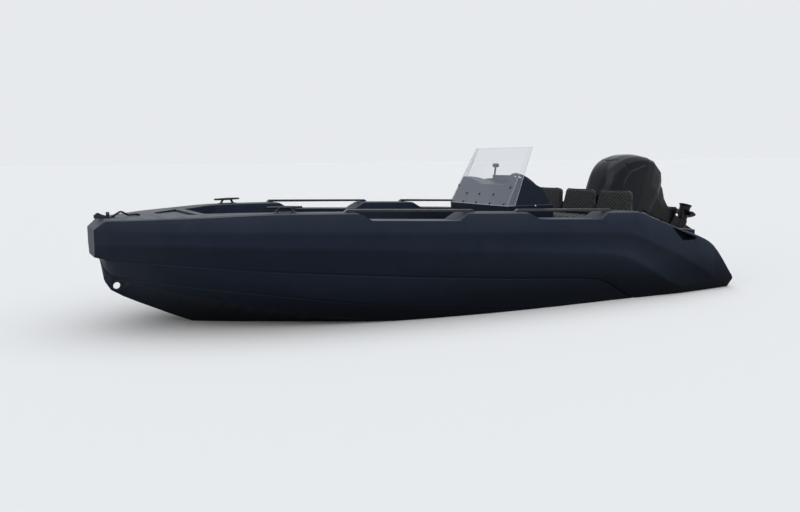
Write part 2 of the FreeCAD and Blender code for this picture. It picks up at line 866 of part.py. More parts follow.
def make_post():
    """Short mooring post with a cross bar, standing on the roller's channel."""
    x = bow_place(post_back)
    (back, z0), (knee, z1) = channel_ends()
    rise = (z1 - z0) / (knee - back)
    z = z0 + (x - post_flange - back) * rise + cheek_floor + side_gap
    top = z + post_height
    foot = Part.makeCylinder(post_flange, handle_pad, Vector(at(x), 0, z))
    shaft = Part.makeCylinder(post_radius, post_height, Vector(at(x), 0, z))
    level = z + (top - z) * post_bar_share
    bar = rod((at(x), -post_bar_half, level), (at(x), post_bar_half, level), post_bar)
    return fused([foot, shaft, bar])


def make_handle():
    """Bent tube handle that stands fore and aft on the foredeck."""
    x1 = bow_place(handle_back)
    x0 = x1 - handle_length
    lift = handle_tube + side_gap + handle_pad / 2
    spots = [(x1, 0.0), (x1 - handle_peak, handle_height - handle_tube),
             (x1 - handle_drop, 0.0), (x0, 0.0)]
    points = [(at(x), 0, deck_z(x) + lift + rise) for x, rise in spots]
    parts = [round_path(points, handle_bend, handle_tube)]
    for x in (x0, x1):
        ground = max(deck_z(x - handle_foot), deck_z(x + handle_foot)) + side_gap
        parts.append(Part.makeCylinder(handle_foot, handle_pad + handle_tube,
                                       Vector(at(x), 0, ground)))
    return fused(parts)


save("bow_roller_bracket", make_bow_cheeks())
save("bow_roller", make_roller())
save("bow_post", make_post())
save("bow_handle", make_handle())


# Console

def shield_x(z):
    """x of the windshield's front face at height z, from the stern end."""
    return shield_foot_x - (z - shield_foot_z) / shield_height * shield_rake


def shield_half(z):
    """Half width of the windshield at height z."""
    t = (z - shield_foot_z) / shield_height
    return shield_foot_half + t * (shield_top_half - shield_foot_half)


def wrapped(aft, front, half, corner):
    """Half outline from an aft end round an eased front corner."""
    return eased([(aft, half), (front, half), (front, 0.0)], [0, corner, 0])[:-1]


def make_console():
    """Moulded console: raked front with a dipped crest, sloping dash, hollow below."""
    foot = floor_z + floor_panel
    front, aft = console_front_x, console_aft_x
    skin = shield_thickness + shield_gap

    def ring(z, x, half, corner):
        return [(at(x), y, z) for x, y in both_sides(wrapped(aft, x, half, corner))]

    lower = loft([
        ring(foot, front - shield_bend, console_foot_half, console_corner),
        ring(shield_foot_z, front, console_half, console_corner),
    ])
    levels = (shield_foot_z, crest_z)
    upper = loft([ring(z, shield_x(z) - skin, shield_half(z) - skin, shield_bend) for z in levels])
    above = crest_z + legroom_margin
    beyond = aft - legroom_margin
    dash = [(at(dash_x), above), (at(dash_x), dash_z), (at(lip_x), lip_z),
            (at(aft), console_knee_z), (at(beyond), console_knee_z), (at(beyond), above)]
    body = lower.fuse(upper).cut(slab_y(dash, -console_half, console_half))
    crest = CREST + [(CREST[-1][0], above), (CREST[0][0], above)]
    body = body.cut(slab_x(crest, at(lip_x), at(front)))
    side = console_foot_half - legroom_margin
    legroom = box(at(beyond), at(aft + legroom_depth), -side, side, foot - 1.0,
                  console_knee_z - legroom_drop)
    body = body.cut(legroom).removeSplitter()
    body.translate(Vector(0, console_y, 0))
    return body


def make_windshield():
    """Raked clear screen with a wing turned back at each side."""
    sections = []
    t = shield_thickness
    for z, wing in ((shield_foot_z + side_gap, shield_wing_foot),
                    (shield_foot_z + shield_height, shield_wing_top)):
        x, half = shield_x(z), shield_half(z)
        outer = wrapped(x - wing, x, half, shield_bend)
        inner = wrapped(x - wing, x - t, half - t, shield_bend - t)
        ring = both_sides(outer)[:-1] + [outer[0][:1] + (-outer[0][1],)]
        ring += [(a, -b) for a, b in inner] + inner[::-1]
        sections.append([(at(a), b + console_y, z) for a, b in ring])
    return loft(sections)


save("console", make_console())
save("windshield", make_windshield())


def dash_height(x):
    """Height of the dash at x from the stern end."""
    return lip_z + (x - lip_x) * dash_rise


def helm_axis():
    """Unit vector along the steering column, away from the dash."""
    a = math.radians(wheel_slope)
    return Vector(-math.cos(a), 0, math.sin(a))


def make_wheel():
    """Steering wheel with a round rim, hub and three spokes."""
    reach = wheel_radius - rim_radius
    parts = [Part.makeTorus(reach, rim_radius),
             Part.makeCylinder(hub_radius, hub_depth, Vector(0, 0, -hub_depth / 2))]
    for k in range(spoke_count):
        spoke = box(hub_radius / 2, reach, -spoke_half, spoke_half, -spoke_thickness / 2,
                    spoke_thickness / 2)
        spoke.rotate(Vector(0, 0, 0), Vector(0, 0, 1), k * 360.0 / spoke_count)
        parts.append(spoke)
    wheel = fused(parts)
    bore = Part.makeCylinder(column_radius + running_gap, hub_depth, Vector(0, 0, -hub_depth / 2))
    wheel = wheel.cut(bore)
    wheel.rotate(Vector(0, 0, 0), Vector(0, 1, 0), wheel_slope - 90.0)
    wheel.translate(Vector(at(wheel_x), wheel_y, wheel_z))
    return wheel


def make_helm():
    """Steering column from the dash to the wheel's hub."""
    axis = helm_axis()
    centre = Vector(at(wheel_x), wheel_y, wheel_z)
    back = centre - axis * (hub_depth / 2 + side_gap)
    collar_end = back - axis * helm_length
    flange = Part.makeCylinder(helm_radius, helm_length, collar_end, axis)
    shaft = Part.makeCylinder(column_radius, helm_length + hub_depth, collar_end, axis)
    helm = fused([flange, shaft])
    return helm.cut(make_console())


def make_pod():
    """Instrument pod on top of the dash, ahead of the wheel."""
    aft = lip_x + pod_back
    fore = aft + pod_length - pod_back
    profile = [
        (at(aft), dash_height(aft)), (at(fore), dash_height(fore)),
        (at(fore), dash_height(fore) + pod_height),
        (at(aft + pod_lean), dash_height(aft + pod_lean) + pod_height),
    ]
    return slab_y(profile, wheel_y - pod_half, wheel_y + pod_half)


def make_throttle():
    """Control box on the starboard side of the dash."""
    aft, fore = throttle_x - throttle_length / 2, throttle_x + throttle_length / 2
    top = dash_height(fore) + throttle_height * 0.6
    profile = [
        (at(aft), dash_height(aft) + side_gap), (at(aft), dash_height(aft) + throttle_height / 2),
        (at(aft + throttle_half), top), (at(fore - throttle_half), top),
        (at(fore), dash_height(fore) + side_gap),
    ]
    body = slab_y(profile, throttle_y - throttle_half, throttle_y + throttle_half)
    return body.cut(make_console())


def make_lever():
    """Throttle lever with its knob."""
    z = dash_height(throttle_x) + throttle_height - lever_pivot / 2
    y0 = throttle_y + throttle_half
    middle, y1 = y0 + lever_pivot * 0.7, y0 + lever_pivot * 1.4
    x = at(throttle_x)
    tip = (x - lever_lean, z + lever_length)
    pivot = rod((x, y0, z), (x, y1, z), lever_pivot)
    arm = rod((x, middle, z), (tip[0], middle, tip[1]), lever_radius)
    knob = rod((tip[0], middle - knob_half, tip[1]), (tip[0], middle + knob_half, tip[1]),
               knob_radius)
    return fused([pivot, arm, knob])


save("steering_wheel", make_wheel())
save("helm", make_helm())
save("instrument_pod", make_pod())
save("throttle_box", make_throttle())
save("throttle_lever", make_lever())


# Bench and seat backs

def make_bench():
    """Moulded locker under the seat."""
    foot = floor_z + floor_panel
    nip = bench_corner
    lower = both_sides([(at(bench_aft_x), bench_half - 30.0),
                        (at(bench_front_x - nip), bench_half - 30.0),
                        (at(bench_front_x - 30.0), bench_half - 30.0 - nip)])
    upper = both_sides([(at(bench_aft_x), bench_half), (at(bench_front_x - nip + 20.0), bench_half),
                        (at(bench_front_x), bench_half - nip)])
    return loft([[(x, y, foot) for x, y in lower], [(x, y, bench_top_z) for x, y in upper]])


def make_cushion():
    m = cushion_margin
    plan = both_sides([(at(bench_aft_x + 70.0), bench_half - m),
                       (at(bench_front_x - bench_corner), bench_half - m),
                       (at(bench_front_x - m), bench_half - bench_corner)])
    z = bench_top_z + soft_gap
    return slab_z(plan, z, z + cushion_thickness)


def back_front(z):
    """x of the seat backs' front face at height z."""
    t = (z - back_foot_z) / (back_top_z - back_foot_z)
    return back_foot_x + back_thickness / 2 - t * back_lean


def make_back(k):
    """One seat back: wider at the foot, corners cut at the top, leaning aft."""
    middle = (k - (back_count - 1) / 2) * back_pitch
    half = (back_pitch - back_gap) / 2
    sections = []
    outline = [
        (-half + back_taper * 0.4, back_foot_z), (half - back_taper * 0.4, back_foot_z),
        (half, back_foot_z + 60.0), (half - back_taper, back_top_z - back_corner),
        (half - back_taper - back_corner, back_top_z),
        (-half + back_taper + back_corner, back_top_z),
        (-half + back_taper, back_top_z - back_corner), (-half, back_foot_z + 60.0),
    ]
    for offset in (0.0, -back_thickness):
        sections.append([(at(back_front(z) + offset), middle + y, z) for y, z in outline])
    return loft(sections)


def make_back_frame():
    """Upright plates behind the seat backs, standing on the locker, one behind each."""
    plates = []
    for k in range(back_count):
        middle = (k - (back_count - 1) / 2) * back_pitch
        for side in (-1, 1):
            y = middle + side * back_pitch * 0.25
            z0, z1 = bench_top_z, back_top_z - 70.0
            x0, x1 = back_front(z0) - back_thickness - soft_gap, back_front(z1) - back_thickness
            x1 -= soft_gap
            profile = [(at(x0), z0), (at(x1), z1), (at(x1 - frame_thickness), z1),
                       (at(x0 - frame_thickness), z0)]
            plates.append(slab_y(profile, y - frame_width / 2, y + frame_width / 2))
    z0 = back_foot_z + 40.0
    x0 = back_front(z0) - back_thickness - soft_gap - 4.0
    z1 = z0 + 40.0
    x1 = back_front(z1) - back_thickness - soft_gap - 4.0
    span = back_pitch * (back_count - 1) / 2 + back_pitch * 0.25 + frame_width / 2
    rail = slab_y([(at(x0), z0), (at(x1), z1), (at(x1 - 10.0), z1), (at(x0 - 10.0), z0)],
                  -span, span)
    return fused(plates + [rail])


save("bench", make_bench())
save("seat_cushion", make_cushion())
save("seat_back_frame", make_back_frame())
for k, name in enumerate(("starboard", "middle", "port")):
    save("seat_back_" + name, make_back(k))


# Engine. Shapes are drawn with the engine down, x = -a and z = u, then tilted up and put in place

def tilted(shape):
    """Turn about the tilt tube to the stored angle and move to the transom."""
    shape = shape.copy()
    shape.rotate(Vector(0, 0, 0), Vector(0, 1, 0), tilt_rest)
    shape.translate(Vector(at(tilt_x), 0, tilt_z))
    return shape


def upright(shape):
    """Put in place without tilting."""
    shape = shape.copy()
    shape.translate(Vector(at(tilt_x), 0, tilt_z))
    return shape


def plate_au(outline, y0, y1):
    """Outline of a and u points, pushed from y0 to y1."""
    return slab_y([(-a, u) for a, u in outline], y0, y1)


def ring_au(u, front, back, half_front, half_back, corner):
    """Level outline at height u, with eased corners and a crowned back."""
    crown = corner * 0.3
    half = [
        (-front, 0.0), (-front, half_front), (-(front + back) / 2, half_back),
        (-back + crown, half_back - corner * 0.15), (-back, (half_back - corner) * 0.7),
        (-back, 0.0),
    ]
    points = eased(half, [0, corner * 0.7, 0, corner, 0, 0])[1:-1]
    return [(x, y, u) for x, y in both_sides(points)]


def make_clamp():
    """Two hooked plates over the transom, joined by the tilt tube and a lower pin."""
    foot = clamp_foot_u
    aft = tilt_x - transom_x
    profile = [
        (aft, 0.0), (aft + 34.0, -30.0), (aft + 50.0, -120.0), (aft + 50.0, foot + 60.0),
        (aft + 34.0, foot), (aft, foot),
        (aft, transom_top_z - tilt_z), (aft - transom_thickness, transom_top_z - tilt_z),
        (aft - transom_thickness, clamp_hook_u), (-clamp_hook_x, clamp_hook_u),
        (-clamp_hook_x, -24.0), (-clamp_hook_x + 30.0, 26.0), (aft - 16.0, 30.0),
    ]
    inner, outer = clamp_inner, clamp_inner + clamp_plate
    parts = [plate_au(profile, inner, outer), plate_au(profile, -outer, -inner)]
    parts.append(rod((0, -outer - 10.0, 0), (0, outer + 10.0, 0), tube_radius))
    parts.append(rod((-ram_pin_a, -inner - 2.0, ram_pin_u), (-ram_pin_a, inner + 2.0, ram_pin_u),
                     ram_pin))
    whole = fused(parts)
    return upright(whole)


def make_swivel():
    """Swivel bracket: two cheeks round the tilt tube, and the steering tube behind them."""
    reach = clamp_inner - side_gap
    boss = rod((0, -reach, 0), (0, reach, 0), tube_boss)
    cheek = [(0.0, tube_boss - 2), (60.0, 12.0), (swivel_a, 12.0), (swivel_a, swivel_foot_u),
             (swivel_a - 24.0, swivel_foot_u), (76.0, -150.0), (30.0, -24.0), (-4.0, -24.0)]
    parts = [boss, plate_au(cheek, swivel_cheek_inner, swivel_cheek_inner + swivel_cheek),
             plate_au(cheek, -swivel_cheek_inner - swivel_cheek, -swivel_cheek_inner)]
    web = [(0.0, 12.0), (swivel_a, 12.0), (swivel_a, -20.0), (20.0, -24.0)]
    parts.append(plate_au(web, -36.0, 36.0))
    low = [(swivel_a, -200.0), (swivel_a, swivel_foot_u), (swivel_a - 20.0, swivel_foot_u),
           (swivel_a - 20.0, -200.0)]
    parts.append(plate_au(low, -36.0, 36.0))
    parts.append(rod((-swivel_a, 0, swivel_foot_u), (-swivel_a, 0, swivel_top_u), swivel_tube))
    whole = fused(parts)
    foot, top = swivel_foot_u - swivel_tube, swivel_top_u + swivel_tube
    whole = whole.cut(rod((0, -clamp_inner, 0), (0, clamp_inner, 0), tube_radius + running_gap))
    whole = whole.cut(rod((-swivel_a, 0, foot), (-swivel_a, 0, top), swivel_shaft + running_gap))
    return tilted(whole)


def ram_line():
    """Lower pin and eye of the tilt ram at rest, in the row frame, and the unit vector up it."""
    low = Vector(at(tilt_x) - ram_pin_a, 0, tilt_z + ram_pin_u)
    eye = Vector(-ram_eye_a, 0, ram_eye_u)
    t = math.radians(tilt_rest)
    eye = Vector(eye.x * math.cos(t) + eye.z * math.sin(t), 0,
                 -eye.x * math.sin(t) + eye.z * math.cos(t))
    eye = eye + Vector(at(tilt_x), 0, tilt_z)
    return low, eye, (eye - low).normalize()


def make_ram_barrel():
    low, _, up = ram_line()
    side = Vector(0, 1, 0)
    eye = Part.makeCylinder(ram_eye + 4.0, 40.0, low - side * 20.0, side)
    tube = Part.makeCylinder(ram_barrel, ram_barrel_length - 12.0, low + up * 12.0, up)
    gland = Part.makeCylinder(ram_barrel + 3.0, 18.0, low + up * (ram_barrel_length - 18.0), up)
    whole = fused([eye, tube, gland])
    whole = whole.cut(Part.makeCylinder(ram_pin + running_gap, 60.0, low - side * 30.0, side))
    depth = ram_barrel_length - 36.0
    return whole.cut(Part.makeCylinder(ram_rod + running_gap, depth + 10.0, low + up * 36.0, up))


def make_ram_rod():
    _, eye, up = ram_line()
    side = Vector(0, 1, 0)
    head = Part.makeCylinder(ram_eye, 40.0, eye - side * 20.0, side)
    shaft = Part.makeCylinder(ram_rod, ram_rod_length, eye - up * ram_rod_length, up)
    reach = swivel_cheek_inner - 0.5
    pin = Part.makeCylinder(ram_pin, 2 * reach, eye - side * reach, side)
    return fused([head, shaft, pin])


def make_leg():
    """Steering shaft, its mounts, and the tapering housing down to the plate."""
    back = leg_front_a + lower_mount
    foot = swivel_foot_u - lower_mount_depth
    shaft = rod((-swivel_a, 0, foot), (-swivel_a, 0, neck_top_u), swivel_shaft)
    upper = box(-back, -swivel_a + lower_mount, -leg_half, leg_half, swivel_top_u + side_gap,
                neck_top_u)
    boss = rod((-swivel_a, 0, foot), (-swivel_a, 0, swivel_foot_u - side_gap), lower_mount)
    arm = box(-back, -swivel_a, -lower_mount, lower_mount, foot, swivel_foot_u - side_gap)
    neck = box(-neck_back_a, -leg_front_a, -leg_half, leg_half, leg_top_u - side_gap, neck_top_u)
    housing = loft([ring_au(*row) for row in LEG])
    return tilted(fused([shaft, upper, boss, arm, neck, housing]))


def make_gearcase():
    """Plate above the propeller, strut, torpedo and skeg."""
    plate = slab_z(both_sides([(-a, half) for a, half in PLATE]), plate_u - plate_thickness,
                   plate_u)
    strut = loft([ring_au(*row) for row in STRUT])
    axis = Vector(-1, 0, 0)
    shoulder = torpedo_front_a + torpedo_nose
    body = Part.makeCylinder(torpedo_radius, torpedo_back_a - shoulder,
                             Vector(-shoulder, 0, shaft_u), axis)
    mid = torpedo_front_a + torpedo_nose / 4
    nose = Part.makeCone(torpedo_radius * 0.66, torpedo_radius, shoulder - mid,
                         Vector(-mid, 0, shaft_u), axis)
    tip = Part.makeCone(torpedo_radius / 4, torpedo_radius * 0.66, mid - torpedo_front_a,
                        Vector(-torpedo_front_a, 0, shaft_u), axis)
    fin = [(shoulder, shaft_u), (torpedo_back_a - 20.0, shaft_u), (torpedo_back_a - 50.0, skeg_u),
           (torpedo_back_a - 110.0, skeg_u)]
    skeg = plate_au(fin, -skeg_half, skeg_half)
    shaft = rod((-torpedo_back_a + 4.0, 0, shaft_u),
                (-torpedo_back_a - prop_length - 12.0, 0, shaft_u), prop_shaft)
    return tilted(fused([plate, strut, body, nose, tip, skeg, shaft]))


def make_cowl_lower():
    _, front, back, half_front, half_back, corner = COWL[0]
    inset = 10.0
    lower = loft([
        ring_au(cowl_foot_u, front, back, half_front - inset, half_back - inset, corner),
        ring_au(*COWL[0]),
    ])
    whole = fused([lower, loft([ring_au(*row) for row in SKIRT])])
    side = half_back
    room = box(-leg_front_a, side, -side, side, 3 * leg_top_u, cowl_foot_u)
    gap = side_gap
    neck = box(-neck_back_a - gap, 0.0, -leg_half - gap, leg_half + gap, 3 * leg_top_u,
               neck_top_u + gap)
    return tilted(whole.cut(room).cut(neck))


def cowl_rings(inset):
    """Level outlines from the cowl's foot to its crown, evenly spaced between its table's rows."""
    levels = [COWL[0][0]]
    for low, high in zip(COWL, COWL[1:]):
        levels += [low[0] + (high[0] - low[0]) * (k + 1) / cowl_steps for k in range(cowl_steps)]
    rings = []
    for k, level in enumerate(levels):
        u, front, back, half_front, half_back, corner = smooth_row(COWL, level)
        level = u - inset if k else u
        rings.append(ring_au(level, front + inset, back - inset, half_front - inset,
                             half_back - inset, corner))
    return rings


def make_cowl_top():
    return tilted(loft(cowl_rings(0.0)).cut(loft(cowl_rings(cowl_wall))))


def make_powerhead():
    block = box(-powerhead_back_a, -powerhead_front_a, -powerhead_half, powerhead_half,
                cowl_split_u, powerhead_top_u)
    return tilted(block)


def make_propeller():
    """Hub and twisted blades, drawn about the x axis."""
    x0 = -torpedo_back_a - side_gap - 4.0
    axis = Vector(-1, 0, 0)
    plain = prop_length - prop_flare_length
    parts = [
        Part.makeCone(prop_hub, prop_hub_aft, plain, Vector(x0, 0, 0), axis),
        Part.makeCone(prop_hub_aft, prop_flare, prop_flare_length, Vector(x0 - plain, 0, 0), axis),
    ]
    middle = x0 - prop_length * 0.48
    for k in range(blade_count):
        sections = []
        for share, chord in ((0.24, 0.62), (0.55, 1.0), (0.85, 0.9), (1.0, 0.45)):
            r = prop_radius * share
            half = blade_chord * chord / 2
            thick = blade_thickness * (1.5 - share) / 2
            angle = math.atan(prop_radius * math.tan(math.radians(blade_pitch)) / r)
            ring = []
            for c, t in ((-half, -thick), (half, -thick), (half, thick), (-half, thick)):
                ring.append((middle + c * math.sin(angle) + t * math.cos(angle),
                             c * math.cos(angle) - t * math.sin(angle), r))
            sections.append(ring)
        blade = loft(sections)
        blade.rotate(Vector(0, 0, 0), Vector(1, 0, 0), blade_start + k * 360.0 / blade_count)
        parts.append(blade)
    whole = fused(parts)
    bore = rod((x0 + 10, 0, 0), (x0 - prop_length - 10, 0, 0), prop_shaft + running_gap)
    whole = whole.cut(bore)
    whole.translate(Vector(0, 0, shaft_u))
    return tilted(whole)


for name, shape in (
    ("engine_clamp_bracket", make_clamp()), ("engine_swivel_bracket", make_swivel()),
    ("tilt_ram_barrel", make_ram_barrel()), ("tilt_ram_rod", make_ram_rod()),
    ("engine_leg", make_leg()), ("engine_gearcase", make_gearcase()),
    ("engine_cowl_lower", make_cowl_lower()), ("engine_cowl_top", make_cowl_top()),
    ("engine_powerhead", make_powerhead()), ("propeller", make_propeller()),
):
    save(name, shape)
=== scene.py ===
"""Looks of a rigid moulded open motorboat with a console, rear seats and a tilted outboard.

Metres. +X forward, +Y port, +Z up, origin at midship on the waterline.
"""

from __future__ import annotations

import json
import logging
import math
from dataclasses import dataclass, field
from enum import Enum
from typing import Any

import bmesh
import bpy
from mathutils import Matrix, Vector
from mathutils.kdtree import KDTree

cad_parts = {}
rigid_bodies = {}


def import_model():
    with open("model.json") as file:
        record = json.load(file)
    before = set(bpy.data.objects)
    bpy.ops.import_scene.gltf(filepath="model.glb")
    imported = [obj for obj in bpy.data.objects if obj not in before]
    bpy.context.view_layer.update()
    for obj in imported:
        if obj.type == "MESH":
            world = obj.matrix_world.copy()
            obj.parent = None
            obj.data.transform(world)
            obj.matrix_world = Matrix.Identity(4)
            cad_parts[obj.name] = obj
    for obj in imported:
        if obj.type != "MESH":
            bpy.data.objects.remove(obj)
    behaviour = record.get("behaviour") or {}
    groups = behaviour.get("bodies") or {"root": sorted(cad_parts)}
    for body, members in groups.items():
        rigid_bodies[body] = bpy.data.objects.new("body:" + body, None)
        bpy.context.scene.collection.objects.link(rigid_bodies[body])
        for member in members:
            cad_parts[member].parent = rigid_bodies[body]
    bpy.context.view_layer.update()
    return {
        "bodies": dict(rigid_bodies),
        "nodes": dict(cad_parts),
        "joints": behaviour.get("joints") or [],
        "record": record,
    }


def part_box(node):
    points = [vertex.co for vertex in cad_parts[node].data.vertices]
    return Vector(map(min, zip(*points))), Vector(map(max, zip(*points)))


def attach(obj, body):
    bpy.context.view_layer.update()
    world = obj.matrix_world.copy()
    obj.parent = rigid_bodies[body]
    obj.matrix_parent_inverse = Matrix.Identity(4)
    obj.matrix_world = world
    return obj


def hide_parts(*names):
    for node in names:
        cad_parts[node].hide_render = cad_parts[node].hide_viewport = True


log = logging.getLogger("boat")

Colour = tuple[float, float, float]
Point = tuple[float, float, float]


def add(name: str, data: bpy.types.ID) -> bpy.types.Object:
    """Link a new object with this data to the scene."""
    made = bpy.data.objects.new(name, data)
    bpy.context.collection.objects.link(made)
    return made


class Space(Enum):
    """Coordinates that a pattern follows."""

    OBJECT = "Object"
    NORMAL = "Normal"


class Signal:
    """One output socket, with Python's operators as Math nodes."""

    def __init__(self, paint: Paint, socket: Any) -> None:
        """Keep the socket and the material it belongs to."""
        self.paint = paint
        self.socket = socket

    def maths(self, operation: str, *others: Any) -> Signal:
        """Put this value and further numbers or signals through a Math node."""
        return self.paint.maths(operation, self, *others)

    def __add__(self, other: Any) -> Signal:
        """Sum, also with a number on the left."""
        return self.maths("ADD", other)

    __radd__ = __add__

    def __sub__(self, other: Any) -> Signal:
        """Difference."""
        return self.maths("SUBTRACT", other)

    def __rsub__(self, other: float) -> Signal:
        """Difference from a number on the left."""
        return self.paint.maths("SUBTRACT", other, self)

    def __mul__(self, other: Any) -> Signal:
        """Product, also with a number on the left."""
        return self.maths("MULTIPLY", other)

    __rmul__ = __mul__

    def __abs__(self) -> Signal:
        """Absolute value."""
        return self.maths("ABSOLUTE")

    def step(self, low: float, high: float) -> Signal:
        """Rise smoothly from 0 at low to 1 at high."""
        settings = {"interpolation_type": "SMOOTHSTEP"}
        values = {"Value": self, "From Min": low, "From Max": high}
        return self.paint.node("ShaderNodeMapRange", settings, values)


class Paint:
    """A material's node tree round one Principled shader."""

    def __init__(self, name: str) -> None:
        """Start an empty material of that name."""
        self.material = bpy.data.materials.new(name)
        self.material.use_nodes = True
        self.tree = self.material.node_tree
        self.tree.nodes.clear()
        output = self.tree.nodes.new("ShaderNodeOutputMaterial")
        self.shader = self.tree.nodes.new("ShaderNodeBsdfPrincipled")
        self.tree.links.new(self.shader.outputs[0], output.inputs["Surface"])

    def node(self, kind: str, settings: dict[str, Any], values: dict[Any, Any],
             out: Any = 0) -> Signal:
        """Add any node.

        Args:
            kind: The node's type.
            settings: Its properties, which are set before its sockets.
            values: Its inputs by name or number, each a number, tuple or signal.
            out: Name or number of the output that is wanted.

        Returns:
            The wanted output.
        """
        made = self.tree.nodes.new(kind)
        for key, value in settings.items():
            setattr(made, key, value)
        for key, value in values.items():
            self.feed(made.inputs[key], value)
        return Signal(self, made.outputs[out])

    def feed(self, socket: Any, value: Any) -> None:
        """Link a signal to a socket, or set the socket's own value."""
        if isinstance(value, Signal):
            self.tree.links.new(value.socket, socket)
        elif isinstance(value, tuple) and len(value) == 3 and socket.type == "RGBA":
            socket.default_value = (*value, 1.0)
        else:
            socket.default_value = value

    def maths(self, operation: str, *values: Any) -> Signal:
        """Put numbers and signals through a Math node."""
        return self.node("ShaderNodeMath", {"operation": operation}, dict(enumerate(values)))

    def place(self, space: Space = Space.OBJECT) -> Signal:
        """Coordinates of the surface."""
        return self.node("ShaderNodeTexCoord", {}, {}, space.value)

    def part(self, vector: Signal, axis: str) -> Signal:
        """One part of a vector, by its axis letter."""
        return self.node("ShaderNodeSeparateXYZ", {}, {0: vector}, axis)

    def scaled(self, by: Point) -> Signal:
        """Coordinates stretched along the axes."""
        return self.node("ShaderNodeVectorMath", {"operation": "MULTIPLY"},
                         {0: self.place(), 1: by})

    def cloud(self, scale: float, detail: float = 4.0, rough: float = 0.55,
              by: Point = (1.0, 1.0, 1.0)) -> Signal:
        """Soft noise from 0 to 1.

        Args:
            scale: Grains in a metre.
            detail: Number of finer octaves.
            rough: Weight of the finer octaves.
            by: Stretch of the coordinates along the axes.

        Returns:
            The noise's value.
        """
        values = {"Vector": self.scaled(by), "Scale": scale, "Detail": detail, "Roughness": rough}
        return self.node("ShaderNodeTexNoise", {}, values, "Fac")

    def cells(self, scale: float) -> Signal:
        """Distance to the nearest of scattered points."""
        values = {"Vector": self.place(), "Scale": scale}
        return self.node("ShaderNodeTexVoronoi", {}, values, "Distance")

    def mix(self, share: Any, low: Any, high: Any) -> Signal:
        """Blend two colours.

        Args:
            share: 0 for the first colour, 1 for the second.
            low: First colour, a tuple or signal.
            high: Second colour, a tuple or signal.

        Returns:
            The blended colour.
        """
        return self.node("ShaderNodeMix", {"data_type": "RGBA"}, {0: share, 6: low, 7: high}, 2)

    def bump(self, height: Signal, depth: float) -> Signal:
        """Relief of a depth in metres from a height signal."""
        values = {"Height": height, "Distance": depth, "Strength": 1.0}
        return self.node("ShaderNodeBump", {}, values)

    def edges(self, width: float) -> Signal:
        """1 on sharp edges and 0 on flats, from a bevelled normal."""
        bent = self.node("ShaderNodeBevel", {"samples": 6}, {"Radius": width})
        flat = self.node("ShaderNodeNewGeometry", {}, {}, "Normal")
        dot = self.node("ShaderNodeVectorMath", {"operation": "DOT_PRODUCT"},
                        {0: bent, 1: flat}, "Value")
        return (1.0 - dot).step(0.02, 0.22)

    def crevice(self, reach: float) -> Signal:
        """0 deep in grooves and corners and 1 in the open, judged over a distance."""
        settings = {"samples": 6, "only_local": True}
        return self.node("ShaderNodeAmbientOcclusion", settings, {"Distance": reach}, "AO")

    def finish(self, **values: Any) -> bpy.types.Material:
        """Set the shader's sockets by name, with spaces written as underscores."""
        for key, value in values.items():
            self.feed(self.shader.inputs[key.replace("_", " ")], value)
        return self.material


@dataclass(frozen=True)
class MouldedPlastic:
    """Rotomoulded plastic with faint mottle, fine peel, light scuffs and painted shade in creases.

    Its sharp edges turn pale, partly as wear and partly as a painted highlight. The lightening
    weight paints light onto faces that look up, paler in patches; tread is the pitch of raised
    non-slip lozenges; and below a set height it is darker towards the bottom, fading over a span.
    """

    name: str
    dark: Colour
    pale: Colour
    roughness: float = 0.5
    scuffs: float = 0.25
    peel: float = 0.0004
    wear_and_highlight: float = 0.5
    gloss: float = 0.1
    lightening: float = 0.0
    tread: float = 0.0
    dark_below: float = 0.0
    dark_fade: float = 0.38
    top_light_colour: Colour = (0.17, 0.18, 0.19)

    def material(self) -> bpy.types.Material:
        """Build the material."""
        p = Paint(self.name)
        mottle = p.cloud(6.5, 5.0)
        streak = p.cloud(9.0, 6.0, 0.6, by=(0.35, 1.0, 2.6)).step(0.55, 0.78)
        scratch = p.cloud(60.0, 3.0, 0.7, by=(0.12, 1.0, 1.8)).step(0.66, 0.74)
        marks = scratch * streak * self.scuffs
        colour = p.mix(mottle.step(0.2, 0.9), self.dark, self.pale)
        # Pale tone for scuffs and for sharp edges, the edges partly wear and partly a painted
        # highlight.
        wear_and_highlight = tuple(min(1.0, c * 2.2 + 0.02) for c in self.pale)
        sky = p.part(p.place(Space.NORMAL), "Z").step(0.55, 0.97)
        # Painted top light: faces that look up are painted paler, in patches.
        painted_top_light = sky * self.lightening * (0.55 + p.cloud(3.0, 6.0, 0.65) * 0.9)
        colour = p.mix(painted_top_light, colour, self.top_light_colour)
        # Painted shade: darker in creases, grooves and pockets, judged by occlusion.
        darkening = (1.0 - p.crevice(0.04).step(0.25, 0.8)) * 0.7
        # Darker towards the bottom: below a set height, fading out over a span above it.
        if self.dark_below:
            height = p.part(p.place(), "Z") + (p.cloud(4.0, 4.0) - 0.5) * 0.06
            above_dark = height.step(self.dark_below, self.dark_below + self.dark_fade)
            darkening = darkening.maths("MAXIMUM", 1.0 - above_dark)
        # The painted crease shade and the low darkening take the colour toward a far darker tone.
        colour = p.mix(darkening * 0.9, colour, tuple(c * 0.14 for c in self.dark))
        # Pale sharp edges: partly wear and partly a painted highlight along the creases.
        colour = p.mix(p.edges(0.006) * self.wear_and_highlight, colour, wear_and_highlight)
        colour = p.mix(marks, colour, wear_and_highlight)
        grain = p.cloud(420.0, 2.0)
        height = grain * 0.5 + p.cloud(30.0, 2.0)
        if self.tread:
            turn = math.pi / self.tread
            along, across = (p.part(p.place(), axis) * turn for axis in "XY")
            lozenge = (along + across).maths("SINE") * (along - across).maths("SINE")
            height = height + abs(lozenge).step(0.45, 0.7) * sky * 2.5
        return p.finish(
            Base_Color=colour,
            Roughness=self.roughness + (mottle - 0.5) * 0.1 + marks * 0.5 + darkening * 0.3
            - sky * self.lightening * 0.3,
            Normal=p.bump(height, self.peel),
            Specular_IOR_Level=self.gloss,
        )


